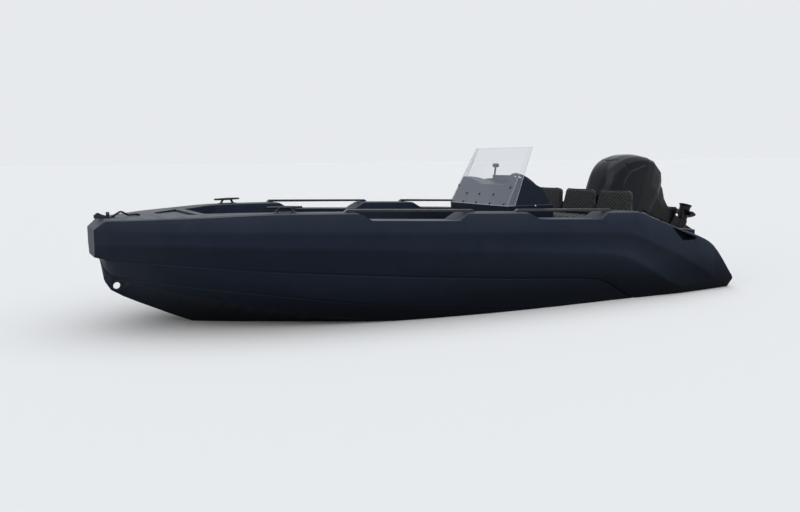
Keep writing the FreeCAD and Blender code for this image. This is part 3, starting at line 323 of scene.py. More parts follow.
@dataclass(frozen=True)
class Metal:
    """Bare or plated metal with fine brushing along one axis and dull smudges."""

    name: str
    colour: Colour
    roughness: float = 0.25
    along: Point = (1.0, 1.0, 1.0)
    smudge: float = 0.12

    def material(self) -> bpy.types.Material:
        """Build the material."""
        p = Paint(self.name)
        dull = p.cloud(18.0, 4.0)
        brush = p.cloud(300.0, 3.0, 0.6, by=self.along)
        dark = tuple(c * 0.72 for c in self.colour)
        return p.finish(
            Base_Color=p.mix(dull.step(0.35, 0.8), self.colour, dark),
            Metallic=1.0,
            Roughness=self.roughness + dull * self.smudge + brush * 0.06,
            Normal=p.bump(brush, 0.00008),
        )


@dataclass(frozen=True)
class Lacquer:
    """Painted or gloss moulded surface under a clear coat, with dust, small chips and painted
    crevice shade.
    """

    name: str
    colour: Colour
    roughness: float = 0.3
    coat: float = 0.8
    dust: float = 0.2
    shine: float = 0.12

    def material(self) -> bpy.types.Material:
        """Build the material."""
        p = Paint(self.name)
        film = p.cloud(5.0, 6.0)
        specks = p.cells(260.0).step(0.16, 0.05) * film.step(0.5, 0.8) * self.dust
        grey = tuple(c + 0.05 for c in self.colour)
        colour = p.mix(specks + film.step(0.55, 0.9) * self.dust * 0.4, self.colour, grey)
        # Painted shade: darker in crevices and joints, judged by occlusion.
        darkening = 1.0 - p.crevice(0.02).step(0.45, 0.9)
        return p.finish(
            Base_Color=p.mix(darkening * 0.85, colour, tuple(c * 0.2 for c in self.colour)),
            Roughness=self.roughness + film * 0.08 + specks + darkening * 0.4,
            Normal=p.bump(p.cloud(60.0, 2.0), 0.00004),
            Coat_Weight=self.coat,
            Coat_Roughness=0.05,
            Specular_IOR_Level=self.shine,
        )


@dataclass(frozen=True)
class Rubber:
    """Soft black rubber with a fine grain and grey bloom."""

    name: str
    colour: Colour = (0.02, 0.02, 0.021)
    roughness: float = 0.62
    grain: float = 700.0

    def material(self) -> bpy.types.Material:
        """Build the material."""
        p = Paint(self.name)
        lightening = p.cloud(26.0, 5.0).step(0.4, 0.85)
        pale = tuple(c * 2.0 + 0.012 for c in self.colour)
        return p.finish(
            Base_Color=p.mix(lightening * 0.6, self.colour, pale),
            Roughness=self.roughness + lightening * 0.15,
            Normal=p.bump(p.cells(self.grain), 0.0003),
            Specular_IOR_Level=0.2,
        )


@dataclass(frozen=True)
class ClearSheet:
    """Clear acrylic sheet with faint wipe marks and a painted highlight along its edges."""

    name: str
    tint: Colour = (0.62, 0.68, 0.80)
    alpha: float = 0.15

    def material(self) -> bpy.types.Material:
        """Build the material."""
        p = Paint(self.name)
        wipes = p.cloud(3.0, 3.0, 0.5, by=(1.0, 0.5, 1.6)).step(0.4, 0.9)
        return p.finish(
            Base_Color=self.tint,
            Roughness=0.05 + wipes * 0.05,
            # Painted highlight: the pale sheet turns more opaque along its edges.
            Alpha=self.alpha + wipes * 0.05 + p.edges(0.008) * 0.8,
            Specular_IOR_Level=0.4,
        )


@dataclass(frozen=True)
class QuiltedVinyl:
    """Seat vinyl: pebbled grain, painted seam shade with pale thread in it, rubbed crowns."""

    name: str
    colour: Colour = (0.018, 0.02, 0.023)
    thread: Colour = (0.085, 0.082, 0.078)

    def material(self) -> bpy.types.Material:
        """Build the material."""
        p = Paint(self.name)
        pebble = p.cells(520.0)
        rub = p.cloud(12.0, 5.0).step(0.4, 0.8)
        pale = tuple(c * 2.0 for c in self.colour)
        sewn = p.node("ShaderNodeAttribute", {"attribute_name": "sewn"}, {}, "Fac")
        colour = p.mix(rub * 0.55, self.colour, pale)
        # Painted shade: darker along the sewn grooves, with the pale thread laid in their middles.
        colour = p.mix(sewn.step(0.1, 0.6) * 0.6, colour, tuple(c * 0.4 for c in self.colour))
        colour = p.mix(sewn.step(0.72, 0.95) * 0.7, colour, self.thread)
        return p.finish(
            Base_Color=colour,
            Roughness=0.46 + rub * 0.18,
            Normal=p.bump(pebble + p.cloud(60.0, 3.0) * 0.6, 0.0006),
            Sheen_Weight=0.06,
            Specular_IOR_Level=0.15,
        )


@dataclass
class Softener:
    """Rounds the moulded edges of CAD nodes and smooths what is meant to be curved.

    Edges gives the rounded edge's width in metres by the start of a node's name.
    """

    curved: float = 32.0
    weld: float = 0.00002
    edges: dict[str, float] = field(default_factory=lambda: {
        "hull_bottom": 0.004, "collar": 0.0006, "bow_moulding": 0.0006, "bow_bulkhead": 0.006,
        "transom": 0.008, "console": 0.006, "bench": 0.01, "instrument_pod": 0.006,
        "throttle_box": 0.004, "rail": 0.003, "engine_cowl": 0.004, "engine_leg": 0.003,
        "engine_gearcase": 0.002, "engine_clamp": 0.002, "engine_swivel": 0.002,
    })

    def shading(self) -> bpy.types.NodeTree:
        """Make the geometry nodes that weld a mesh and smooth it below the curved angle."""
        group = bpy.data.node_groups.new("smooth_by_angle", "GeometryNodeTree")
        for way in ("INPUT", "OUTPUT"):
            group.interface.new_socket("Mesh", in_out=way, socket_type="NodeSocketGeometry")
        add_node, link = group.nodes.new, group.links.new
        source, target = add_node("NodeGroupInput"), add_node("NodeGroupOutput")
        merge = add_node("GeometryNodeMergeByDistance")
        merge.inputs["Distance"].default_value = self.weld
        angle = add_node("GeometryNodeInputMeshEdgeAngle")
        sharp = add_node("FunctionNodeCompare")
        sharp.operation = "GREATER_THAN"
        sharp.inputs[1].default_value = math.radians(self.curved)
        normal = add_node("GeometryNodeSetMeshNormal")
        normal.mode = "SHARPNESS"
        link(source.outputs[0], merge.inputs["Geometry"])
        link(merge.outputs[0], normal.inputs["Mesh"])
        link(angle.outputs["Unsigned Angle"], sharp.inputs[0])
        link(sharp.outputs[0], normal.inputs["Edge Sharpness"])
        link(normal.outputs[0], target.inputs[0])
        return group

    def soften(self, nodes: dict[str, bpy.types.Object]) -> None:
        """Put the modifiers on every CAD node."""
        group = self.shading()
        for name, node in nodes.items():
            node.modifiers.new("smooth", "NODES").node_group = group
            width = next((w for start, w in self.edges.items() if name.startswith(start)), 0.0)
            if width:
                bevel = node.modifiers.new("edge", "BEVEL")
                bevel.width = width
                bevel.segments = 2
                bevel.limit_method = "ANGLE"
                bevel.angle_limit = math.radians(self.curved)
                bevel.harden_normals = True
            even = node.modifiers.new("even", "WEIGHTED_NORMAL")
            even.mode = "CORNER_ANGLE"
            even.weight = 50
            even.keep_sharp = True


@dataclass
class Pad:
    """A stuffed, quilted pad grown from its flat outline by cloth pressure.

    The outline is in metres across (u) and up (v); the pad faces along n.
    """

    name: str
    outline: list[tuple[float, float]]
    origin: Point
    across: Vector
    up: Vector
    thickness: float
    voxel: float = 0.005
    shrink: float = 0.007
    cap: float = 0.010
    diamond: tuple[float, float] = (0.043, 0.036)
    groove: float = 0.0045
    depth: float = 0.0045
    border: float = 0.02
    fine: bool = True
    clearance: float = 0.0006
    pressure: float = 4.0
    frames: int = 20

    @property
    def ahead(self) -> Vector:
        """Direction that the quilted side faces."""
        return self.across.cross(self.up).normalized()

    def at(self, u: float, v: float, n: float) -> Vector:
        """Place in the frame of a point on the pad."""
        return Vector(self.origin) + self.across * u + self.up * v + self.ahead * n

    def local(self, point: Vector) -> tuple[float, float, float]:
        """Place on the pad of a point in the frame."""
        d = point - Vector(self.origin)
        return d.dot(self.across), d.dot(self.up), d.dot(self.ahead)

    def inset(self, by: float) -> list[tuple[float, float]]:
        """Outline moved inward by a distance in metres."""
        count = len(self.outline)
        moved = []
        for k, (u, v) in enumerate(self.outline):
            before = Vector(self.outline[k - 1])
            after = Vector(self.outline[(k + 1) % count])
            here = Vector((u, v))
            a, b = (here - before).normalized(), (after - here).normalized()
            normals = Vector((-a.y, a.x)) + Vector((-b.y, b.x))
            normals /= max(normals.length_squared / 2, 1e-6)
            moved.append(tuple(here + normals * by))
        return moved

    def edge_distance(self, u: float, v: float) -> float:
        """Distance inward from the outline to a point."""
        here = Vector((u, v))
        nearest = 1.0
        for k, end in enumerate(self.outline):
            a, b = Vector(self.outline[k - 1]), Vector(end)
            t = max(0.0, min(1.0, (here - a).dot(b - a) / (b - a).length_squared))
            nearest = min(nearest, (here - a - (b - a) * t).length)
        return nearest

    def blank(self) -> bpy.types.Object:
        """Make the unstuffed pad as an even mesh."""
        half = self.thickness / 2 - self.shrink
        points = self.inset(self.shrink)
        count = len(points)
        verts = [self.at(u, v, n) for n in (-half, half) for u, v in points]
        faces = [tuple(range(count))[::-1], tuple(range(count, 2 * count))]
        faces += [(k, (k + 1) % count, count + (k + 1) % count, count + k) for k in range(count)]
        mesh = bpy.data.meshes.new(self.name)
        mesh.from_pydata(verts, [], faces)
        pad = add(self.name, mesh)
        remesh = pad.modifiers.new("even", "REMESH")
        remesh.mode = "VOXEL"
        remesh.voxel_size = self.voxel
        settle(pad)
        return pad

    def stuff(self, pad: bpy.types.Object) -> None:
        """Blow the pad up with cloth pressure and hold it to the room it has."""
        start = [v.co.copy() for v in pad.data.vertices]
        cloth = pad.modifiers.new("cloth", "CLOTH")
        cloth.settings.use_pressure = True
        cloth.settings.uniform_pressure_force = self.pressure
        cloth.settings.effector_weights.gravity = 0.0
        cloth.settings.quality = 4
        cloth.point_cache.frame_end = self.frames
        for frame in range(1, self.frames + 1):
            bpy.context.scene.frame_set(frame)
        settle(pad)
        bpy.context.scene.frame_set(1)
        half = self.thickness / 2
        for vertex, rest in zip(pad.data.vertices, start):
            move = vertex.co - rest
            if move.length > self.cap:
                vertex.co = rest + move * (self.cap / move.length)
            u, v, n = self.local(vertex.co)
            low = -half + self.clearance
            if n < low:
                vertex.co += self.ahead * (low - n)
        if self.fine:
            pad.modifiers.new("fine", "SUBSURF").levels = 1
            settle(pad)

    def quilt(self, pad: bpy.types.Object) -> None:
        """Press the diamond seams and the border seam into the front of the pad."""
        sewn = pad.data.attributes.new("sewn", "FLOAT", "POINT")
        a, b = self.diamond
        unit = 1.0 / math.hypot(1.0 / a, 1.0 / b)
        ahead = self.ahead
        normals = [vertex.normal.dot(ahead) for vertex in pad.data.vertices]
        for vertex, facing in zip(pad.data.vertices, normals):
            if facing < 0.15:
                continue
            u, v, _ = self.local(vertex.co)
            edge = self.edge_distance(u, v)
            inside = smooth(self.border, self.border + 0.006, edge)
            seams = []
            for phase in (u / a + v / b, u / a - v / b):
                off = abs(phase - round(phase)) * unit
                seams.append(math.exp(-((off / self.groove) ** 2)))
            seam = max(seams) * inside
            rim = math.exp(-(((edge - self.border) / self.groove) ** 2))
            seam = max(seam, rim)
            vertex.co -= ahead * (self.depth * seam * smooth(0.15, 0.6, facing))
            sewn.data[vertex.index].value = seam

    def piping(self, pad: bpy.types.Object, radius: float = 0.0028,
               spacing: float = 0.015) -> None:
        """Sew a welt round the edge of the quilted side, as a child of the pad.

        Args:
            pad: The finished pad.
            radius: Of the welt, in metres.
            spacing: Distance between the welt's points, in metres.
        """
        half = self.thickness / 2
        line = []
        loop = self.inset(0.001)
        for k, (u1, v1) in enumerate(loop):
            u0, v0 = loop[k - 1]
            steps = max(2, round(math.dist((u0, v0), (u1, v1)) / spacing))
            for s in range(steps):
                t = s / steps
                aim = self.at(u0 + t * (u1 - u0), v0 + t * (v1 - v0), half)
                _, place, normal, _ = pad.closest_point_on_mesh(aim)
                line.append(place + normal * (radius * 0.3))
        hoop(self.name + "_welt", line, radius).parent = pad

    def build(self) -> bpy.types.Object:
        """Make the whole pad, with its welt as a child, but without its finish."""
        pad = self.blank()
        self.stuff(pad)
        self.quilt(pad)
        pad.data.shade_smooth()
        self.piping(pad)
        return pad


def hoop(name: str, line: list[Vector], radius: float) -> bpy.types.Object:
    """Closed round tube along points.

    Args:
        name: The tube's name.
        line: Points that it follows.
        radius: Of the tube, in metres.

    Returns:
        The tube, as a smooth mesh linked to the scene.
    """
    curve = bpy.data.curves.new(name, "CURVE")
    curve.dimensions = "3D"
    curve.bevel_depth = radius
    curve.bevel_resolution = 2
    spline = curve.splines.new("NURBS")
    spline.points.add(len(line) - 1)
    for point, place in zip(spline.points, line):
        point.co = (*place, 1.0)
    spline.use_cyclic_u = True
    spline.order_u = 3
    spline.resolution_u = 3
    drawn = bpy.data.objects.new(name, curve)
    mesh = bpy.data.meshes.new_from_object(drawn)
    bpy.data.objects.remove(drawn)
    bpy.data.curves.remove(curve)
    mesh.name = name
    mesh.shade_smooth()
    return add(name, mesh)


def smooth(low: float, high: float, value: float) -> float:
    """Ease from 0 at low to 1 at high."""
    t = max(0.0, min(1.0, (value - low) / (high - low)))
    return t * t * (3.0 - 2.0 * t)


def settle(piece: bpy.types.Object) -> None:
    """Apply every modifier of a piece to its mesh, and keep its finish."""
    bpy.context.view_layer.update()
    seen = piece.evaluated_get(bpy.context.evaluated_depsgraph_get())
    mesh = bpy.data.meshes.new_from_object(seen)
    piece.modifiers.clear()
    old, piece.data = piece.data, mesh
    mesh.name = piece.name
    bpy.data.meshes.remove(old)


@dataclass
class RearSeats:
    """Three quilted seat backs and the cushion in front of them."""

    finish: bpy.types.Material
    welt: bpy.types.Material
    pitch: float = 0.452
    gap: float = 0.010
    foot_z: float = 0.607
    top_z: float = 0.862
    foot_x: float = -1.615
    thickness: float = 0.062
    lean: float = 0.040
    taper: float = 0.026
    corner: float = 0.044
    flare: float = 0.060
    cushion_corner: float = 0.046
    back_fill: float = 0.8
    cushion_fill: float = 0.75

    def back_outline(self) -> list[tuple[float, float]]:
        """Outline of one back, counter-clockwise from its starboard foot."""
        half = (self.pitch - self.gap) / 2
        high = self.top_z - self.foot_z
        t, c = self.taper, self.corner
        foot, *side = [(half - t * 0.4, 0.0), (half, self.flare), (half - t, high - c),
                       (half - t - c * 0.35, high - c * 0.3), (half - t - c, high)]
        return [(-foot[0], 0.0), foot, *side, *((-u, v) for u, v in reversed(side))]

    def dress(self, pad: bpy.types.Object, node: str, fill: float) -> None:
        """Give a pad its finish and its place on the boat.

        Args:
            pad: The pad, with its welt.
            node: CAD node that it stands for.
            fill: How tight it is stuffed; not used.
        """
        pad.data.materials.append(self.finish)
        for child in pad.children:
            child.data.materials.append(self.welt)
        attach(pad, "hull")
        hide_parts(node)

    def backs(self) -> None:
        """Grow one back and set three copies of it side by side."""
        up = Vector((-self.lean, 0.0, self.top_z - self.foot_z)).normalized()
        pad = Pad("back_middle", self.back_outline(), (self.foot_x, 0.0, self.foot_z),
                  Vector((0, 1, 0)), up, self.thickness).build()
        for name, step in (("port", 1), ("starboard", -1)):
            copies = []
            for source in (pad, pad.children[0]):
                data = source.data.copy()
                data.transform(Matrix.Translation((0.0, step * self.pitch, 0.0)))
                copies.append(add(source.name.replace("middle", name), data))
            copies[1].parent = copies[0]
            self.dress(copies[0], "seat_back_" + name, self.back_fill)
        self.dress(pad, "seat_back_middle", self.back_fill)
        log.info("seat backs: %d faces each", len(pad.data.polygons))

    def cushion(self) -> None:
        """Grow the wide cushion on the locker."""
        low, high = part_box("seat_cushion")
        half, deep = (high.y - low.y) / 2, high.x - low.x
        corner = self.cushion_corner
        side = [(half - corner, -deep), (half, -deep + corner), (half, 0.0)]
        outline = [*((-u, v) for u, v in reversed(side)), *side]
        pad = Pad("cushion", outline, (low.x, 0.0, (low.z + high.z) / 2), Vector((0, 1, 0)),
                  Vector((-1, 0, 0)), high.z - low.z, voxel=0.006, shrink=0.010, cap=0.014,
                  diamond=(0.086, 0.086), groove=0.007, depth=0.006, border=0.03,
                  fine=False).build()
        self.dress(pad, "seat_cushion", self.cushion_fill)
        log.info("cushion: %d faces", len(pad.data.polygons))

    def build(self) -> None:
        """Make all the seats."""
        self.backs()
        self.cushion()


def turned(mesh: bmesh.types.BMesh, profile: list[tuple[float, float]], place: Vector,
           axis: Vector, steps: int = 24) -> None:
    """Add a form turned about an axis.

    Args:
        mesh: Mesh to add to.
        profile: Radius and height of each ring, from the middle of the top outward and down.
        place: Foot of the axis.
        axis: Direction of the axis.
        steps: Number of sides.
    """
    up = axis.normalized()
    side = up.orthogonal().normalized()
    other = up.cross(side)
    rings = []
    for radius, height in profile:
        if radius == 0.0:
            rings.append([mesh.verts.new(place + up * height)] * steps)
            continue
        turns = (2.0 * math.pi * k / steps for k in range(steps))
        middle = place + up * height
        rings.append([mesh.verts.new(middle + (side * math.cos(t) + other * math.sin(t)) * radius)
                      for t in turns])
    for outer, inner in zip(rings[1:], rings):
        for k in range(steps):
            corners = (inner[k - 1], inner[k], outer[k], outer[k - 1])
            mesh.faces.new(list(dict.fromkeys(corners)))


def slab(mesh: bmesh.types.BMesh, low: Point, high: Point, edge: float) -> None:
    """Add a block with rounded edges.

    Args:
        mesh: Mesh to add to.
        low: Lowest corner.
        high: Highest corner.
        edge: Width of the rounded edge.
    """
    made = bmesh.ops.create_cube(mesh, size=1.0)["verts"]
    for vertex in made:
        vertex.co = Vector(lo + (c + 0.5) * (hi - lo) for lo, hi, c in zip(low, high, vertex.co))
    edges = list({e for vertex in made for e in vertex.link_edges})
    bmesh.ops.bevel(mesh, geom=edges, offset=edge, segments=3, affect="EDGES", profile=0.5)


def piece(name: str, mesh: bmesh.types.BMesh, finish: bpy.types.Material, slot: str,
          body: str) -> bpy.types.Object:
    """Turn a mesh into a smooth, dressed piece that rides on a body.

    Args:
        name: The piece's name.
        mesh: Its mesh, which is used up.
        finish: Its material.
        slot: The record's material slot; not used.
        body: Body that it rides on.

    Returns:
        The piece.
    """
    bmesh.ops.recalc_face_normals(mesh, faces=mesh.faces)
    data = bpy.data.meshes.new(name)
    mesh.to_mesh(data)
    mesh.free()
    data.shade_smooth()
    data.materials.append(finish)
    made = add(name, data)
    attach(made, body)
    log.info("%s: %d faces", name, len(data.polygons))
    return made


@dataclass(frozen=True)
class Groove:
    """A line pressed into the engine cover: places aft, to port and up, width and depth."""

    line: tuple[Point, ...]
    width: float
    depth: float

    def smooth_line(self, steps: int = 8) -> list[Vector]:
        """Points close together along a smooth curve through the line."""
        ends = [Vector(p) for p in self.line]
        ends = [2 * ends[0] - ends[1], *ends, 2 * ends[-1] - ends[-2]]
        out = []
        for a, b, c, d in zip(ends, ends[1:], ends[2:], ends[3:]):
            for k in range(steps):
                t = k / steps
                out.append(0.5 * (2 * b + (c - a) * t + (2 * a - 5 * b + 4 * c - d) * t**2
                                  + (3 * b - a - 3 * c + d) * t**3))
        return [*out, ends[-2]]


@dataclass
class Cowl:
    """Gloss engine cover, smooth over its moulded rings, with grooves and a rubber seal.

    Rings and grooves are in metres in the engine's upright frame: a aft, y to port, u up.
    Each ring is u, a at the front, a at the back, half width in front and behind, corner.
    """

    finish: bpy.types.Material
    seal: bpy.types.Material
    tilt: float = 72.0
    pivot: Point = (-2.280, 0.0, 0.440)
    rings: tuple[tuple[float, ...], ...] = (
        (0.185, -0.045, 0.665, 0.140, 0.200, 0.080), (0.260, -0.045, 0.660, 0.140, 0.201, 0.084),
        (0.330, -0.045, 0.645, 0.138, 0.200, 0.090), (0.400, -0.045, 0.615, 0.135, 0.196, 0.092),
        (0.470, -0.038, 0.565, 0.130, 0.184, 0.092), (0.520, -0.022, 0.510, 0.119, 0.166, 0.090),
        (0.560, 0.008, 0.440, 0.100, 0.138, 0.080), (0.580, 0.045, 0.375, 0.078, 0.108, 0.060),
        (0.588, 0.085, 0.325, 0.056, 0.078, 0.040),
    )
    grooves: tuple[Groove, ...] = (
        Groove(((0.03, 0.158, 0.300), (0.12, 0.170, 0.352), (0.21, 0.183, 0.394),
                (0.298, 0.189, 0.416), (0.373, 0.190, 0.414), (0.465, 0.190, 0.379),
                (0.504, 0.191, 0.328), (0.548, 0.192, 0.268), (0.580, 0.185, 0.215)),
               0.0065, 0.009),
        Groove(((0.520, 0.000, 0.512), (0.535, 0.050, 0.502), (0.540, 0.095, 0.487),
                (0.527, 0.145, 0.462), (0.502, 0.180, 0.432), (0.470, 0.190, 0.400)),
               0.008, 0.0065),
    )
    steps_up: int = 8
    steps_round: int = 100
    dome_steps: int = 6
    dome: float = 0.004

    def place(self, a: float, y: float, u: float) -> Vector:
        """Point of the upright engine, in the frame at rest."""
        s, c = math.sin(math.radians(self.tilt)), math.cos(math.radians(self.tilt))
        return Vector(self.pivot) + Vector((u * s - a * c, y, a * s + u * c))

    def ring(self, level: float) -> list[float]:
        """Sizes of the ring at a height, on curves that keep the rings' rise and fall."""
        levels, *columns = zip(*self.rings)
        k = next(k for k in range(1, len(levels)) if level <= levels[k] or k == len(levels) - 1)
        run = levels[k] - levels[k - 1]
        t = (level - levels[k - 1]) / run
        out = []
        for column in columns:
            rises = [(b - a) / (v - u)
                     for u, v, a, b in zip(levels, levels[1:], column, column[1:])]
            leans = [rises[0]] + [2 * a * b / (a + b) if a * b > 0 else 0.0
                                  for a, b in zip(rises, rises[1:])] + [rises[-1]]
            out.append((2 * t**3 - 3 * t**2 + 1) * column[k - 1] + (3 * t**2 - 2 * t**3) * column[k]
                       + (t**3 - 2 * t**2 + t) * run * leans[k - 1]
                       + (t**3 - t**2) * run * leans[k])
        return out

    def outline(self, level: float) -> list[tuple[float, float]]:
        """Half outline at a height, evenly spaced from the middle of the front to the back."""
        front, back, half_front, half_back, corner = self.ring(level)
        crown = corner * 0.3
        hard = [(front, 0.0), (front, half_front), ((front + back) / 2, half_back),
                (back - crown, half_back - corner * 0.15), (back, (half_back - corner) * 0.7),
                (back, 0.0)]
        line = [Vector(hard[0])]
        for before, here, after, reach in zip(hard, hard[1:], hard[2:],
                                              (corner * 0.7, 0.12, corner, corner * 0.5)):
            at = Vector(here)
            ends = []
            for other in (Vector(before), Vector(after)):
                share = min(reach / (other - at).length, 0.36)
                ends.append(at.lerp(other, share))
            for k in range(9):
                t = k / 8
                line.append(ends[0] * (1 - t) ** 2 + at * (2 * t * (1 - t)) + ends[1] * t**2)
        line.append(Vector(hard[-1]))
        runs = [0.0]
        for a, b in zip(line, line[1:]):
            runs.append(runs[-1] + (b - a).length)
        out, k = [], 0
        for step in range(self.steps_round + 1):
            want = runs[-1] * step / self.steps_round
            while k < len(runs) - 2 and runs[k + 1] < want:
                k += 1
            t = (want - runs[k]) / (runs[k + 1] - runs[k])
            out.append(tuple(line[k].lerp(line[k + 1], t)))
        return out

    def closed(self, level: float, share: float = 1.0) -> list[Point]:
        """Whole outline at a height, drawn in toward its middle by a share."""
        half = self.outline(level)
        middle = (half[0][0] + half[-1][0]) / 2
        loop = half + [(a, -y) for a, y in half[-2:0:-1]]
        return [(middle + (a - middle) * share, y * share, level) for a, y in loop]

    def shell(self) -> bpy.types.Object:
        """Skin of the cover with a rolled foot and a low dome on top."""
        foot, top = self.rings[0][0], self.rings[-1][0]
        loops = [self.closed(foot, 0.94), self.closed(foot, 0.985)]
        for low, high in zip(self.rings, self.rings[1:]):
            for k in range(self.steps_up):
                loops.append(self.closed(low[0] + (high[0] - low[0]) * k / self.steps_up))
        for k in range(self.dome_steps):
            share = 1.0 - k / self.dome_steps
            loops.append([(a, y, top + self.dome * (1 - share**2)) for a, y, _ in
                          self.closed(top, share)])
        mesh = bmesh.new()
        rows = [[mesh.verts.new(self.place(*spot)) for spot in loop] for loop in loops]
        for low_row, high_row in zip(rows, rows[1:]):
            for k in range(len(low_row)):
                mesh.faces.new((low_row[k - 1], low_row[k], high_row[k], high_row[k - 1]))
        peak = mesh.verts.new(self.place(sum(p[0] for p in loops[-1]) / len(loops[-1]), 0.0,
                                         top + self.dome))
        for k in range(len(rows[-1])):
            mesh.faces.new((rows[-1][k - 1], rows[-1][k], peak))
        shell = piece("cowl_shell", mesh, self.finish, "cowl_gloss", "engine")
        shell.modifiers.new("fine", "SUBSURF").levels = 1
        settle(shell)
        return shell

    def press(self, shell: bpy.types.Object) -> None:
        """Press the grooves into both sides of the shell."""
        for groove in self.grooves:
            line = groove.smooth_line()
            for side in (1.0, -1.0):
                path = [self.place(p.x, p.y * side, p.z) for p in line]
                tree = KDTree(len(path))
                for k, spot in enumerate(path):
                    tree.insert(spot, k)
                tree.balance()
                near = [v for v in shell.data.vertices if v.co.y * side > -0.01]
                normals = [v.normal.copy() for v in near]
                for vertex, normal in zip(near, normals):
                    gap = tree.find(vertex.co)[2]
                    if gap >= groove.width * 3.5:
                        continue
                    for a, b in zip(path, path[1:]):
                        run = b - a
                        t = max(0.0, min(1.0, (vertex.co - a).dot(run) / run.length_squared))
                        gap = min(gap, (vertex.co - a.lerp(b, t)).length)
                    vertex.co -= normal * (groove.depth * math.exp(-((gap / groove.width) ** 2)))
        shell.data.update()

    def gasket(self, shell: bpy.types.Object, radius: float = 0.0035) -> None:
        """Lay the rubber seal in the joint under the cover."""
        loop = self.closed(self.rings[0][0])[::3]
        seal = hoop("cowl_seal", [self.place(*spot) for spot in loop], radius)
        seal.data.materials.append(self.seal)
        seal.parent = shell

    def build(self) -> None:
        """Make the cover in place of the plain one."""
        shell = self.shell()
        self.press(shell)
        shell.data.shade_smooth()
        self.gasket(shell)
        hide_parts("engine_cowl_top")


@dataclass
class ConsoleTrim:
    """Screws through the windshield's foot, the round side light and the seat's kick board."""

    nodes: dict[str, bpy.types.Object]
    steel: bpy.types.Material
    plastic: bpy.types.Material
    lens: bpy.types.Material
    screws: tuple[tuple[float, float], ...] = (
        (-0.375, 0.765), (-0.184, 0.765), (0.015, 0.765), (0.218, 0.765), (0.417, 0.765),
        (-0.181, 0.835), (0.011, 0.835), (0.219, 0.835), (-0.365, 0.897), (0.409, 0.897),
    )
    screw_radius: float = 0.010
    light: tuple[float, float] = (-0.769, 0.748)
    light_radius: float = 0.010
    board_height: float = 0.088
    board_depth: float = 0.010
    board_inset: float = 0.034
    overhang: float = 0.04
    ribs: int = 13
    rib_half: float = 0.006

    def surface(self, node: str, start: Point, toward: Point) -> tuple[Vector, Vector]:
        """Place and normal where a straight line first meets a node."""
        hit, place, normal, _ = self.nodes[node].ray_cast(start, toward)
        if not hit:
            raise ValueError(f"nothing of {node} at {start}")
        return place, normal

    def fit(self, name: str, profile: list[tuple[float, float]],
            spots: list[tuple[Vector, Vector]], finish: bpy.types.Material, slot: str) -> None:
        """Set one turned form at every spot, as one piece.

        Args:
            name: The piece's name.
            profile: Radius and height of each ring.
            spots: Place and normal of each copy.
            finish: Its material.
            slot: The record's material slot.
        """
        mesh = bmesh.new()
        for place, normal in spots:
            turned(mesh, profile, place, normal)
        piece(name, mesh, finish, slot, "hull")

    def fasten(self) -> None:
        """Set the domed screws with their washers."""
        r = self.screw_radius
        profile = [(0.0, 0.0032), (r * 0.3, 0.0032), (r * 0.36, 0.0052), (r * 0.62, 0.0048),
                   (r * 0.72, 0.0026), (r * 0.74, 0.0018), (r * 0.96, 0.0016), (r, 0.0009),
                   (r, -0.001), (0.0, -0.001)]
        spots = [self.surface("windshield", (1.0, y, z), (-1.0, 0.0, 0.0)) for y, z in self.screws]
        self.fit("windshield_screws", profile, spots, self.plastic, "black_plastic")

    def side_light(self) -> None:
        """Set the small round light in its bezel."""
        x, z = self.light
        spots = [self.surface("console", (x, 2.0, z), (0.0, -1.0, 0.0))]
        r = self.light_radius
        self.fit("side_light_lens", [
            (0.0, 0.006), (r * 0.4, 0.0057), (r * 0.62, 0.0045), (r * 0.7, 0.0025),
            (r * 0.7, -0.001), (0.0, -0.001)], spots, self.lens, "console_grey")
        self.fit("side_light_bezel", [
            (r * 0.7, 0.0008), (r * 0.74, 0.0032), (r * 0.9, 0.003), (r, 0.0012),
            (r, -0.001), (r * 0.7, -0.001), (r * 0.7, 0.0008)], spots, self.steel, "stainless")

    def kick_board(self) -> None:
        """Close the space under the seat backs with a ribbed moulded board."""
        low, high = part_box("seat_back_frame")
        bench_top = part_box("bench")[1].z
        mesh = bmesh.new()
        x, z0, z1 = low.x + self.board_inset, bench_top + 0.001, bench_top + self.board_height
        face, rib = x + self.board_depth, self.rib_half
        slab(mesh, (x, low.y - self.overhang, z0), (face, high.y + self.overhang, z1), 0.003)
        for k in range(self.ribs):
            y = low.y + (high.y - low.y) * k / (self.ribs - 1)
            slab(mesh, (face - 0.001, y - rib, z0 + 0.004), (face + 0.004, y + rib, z1 - 0.008),
                 0.0015)
        piece("seat_kick_board", mesh, self.plastic, "black_plastic", "hull")

    def build(self) -> None:
        """Make all the trim."""
        self.fasten()
        self.side_light()
        self.kick_board()


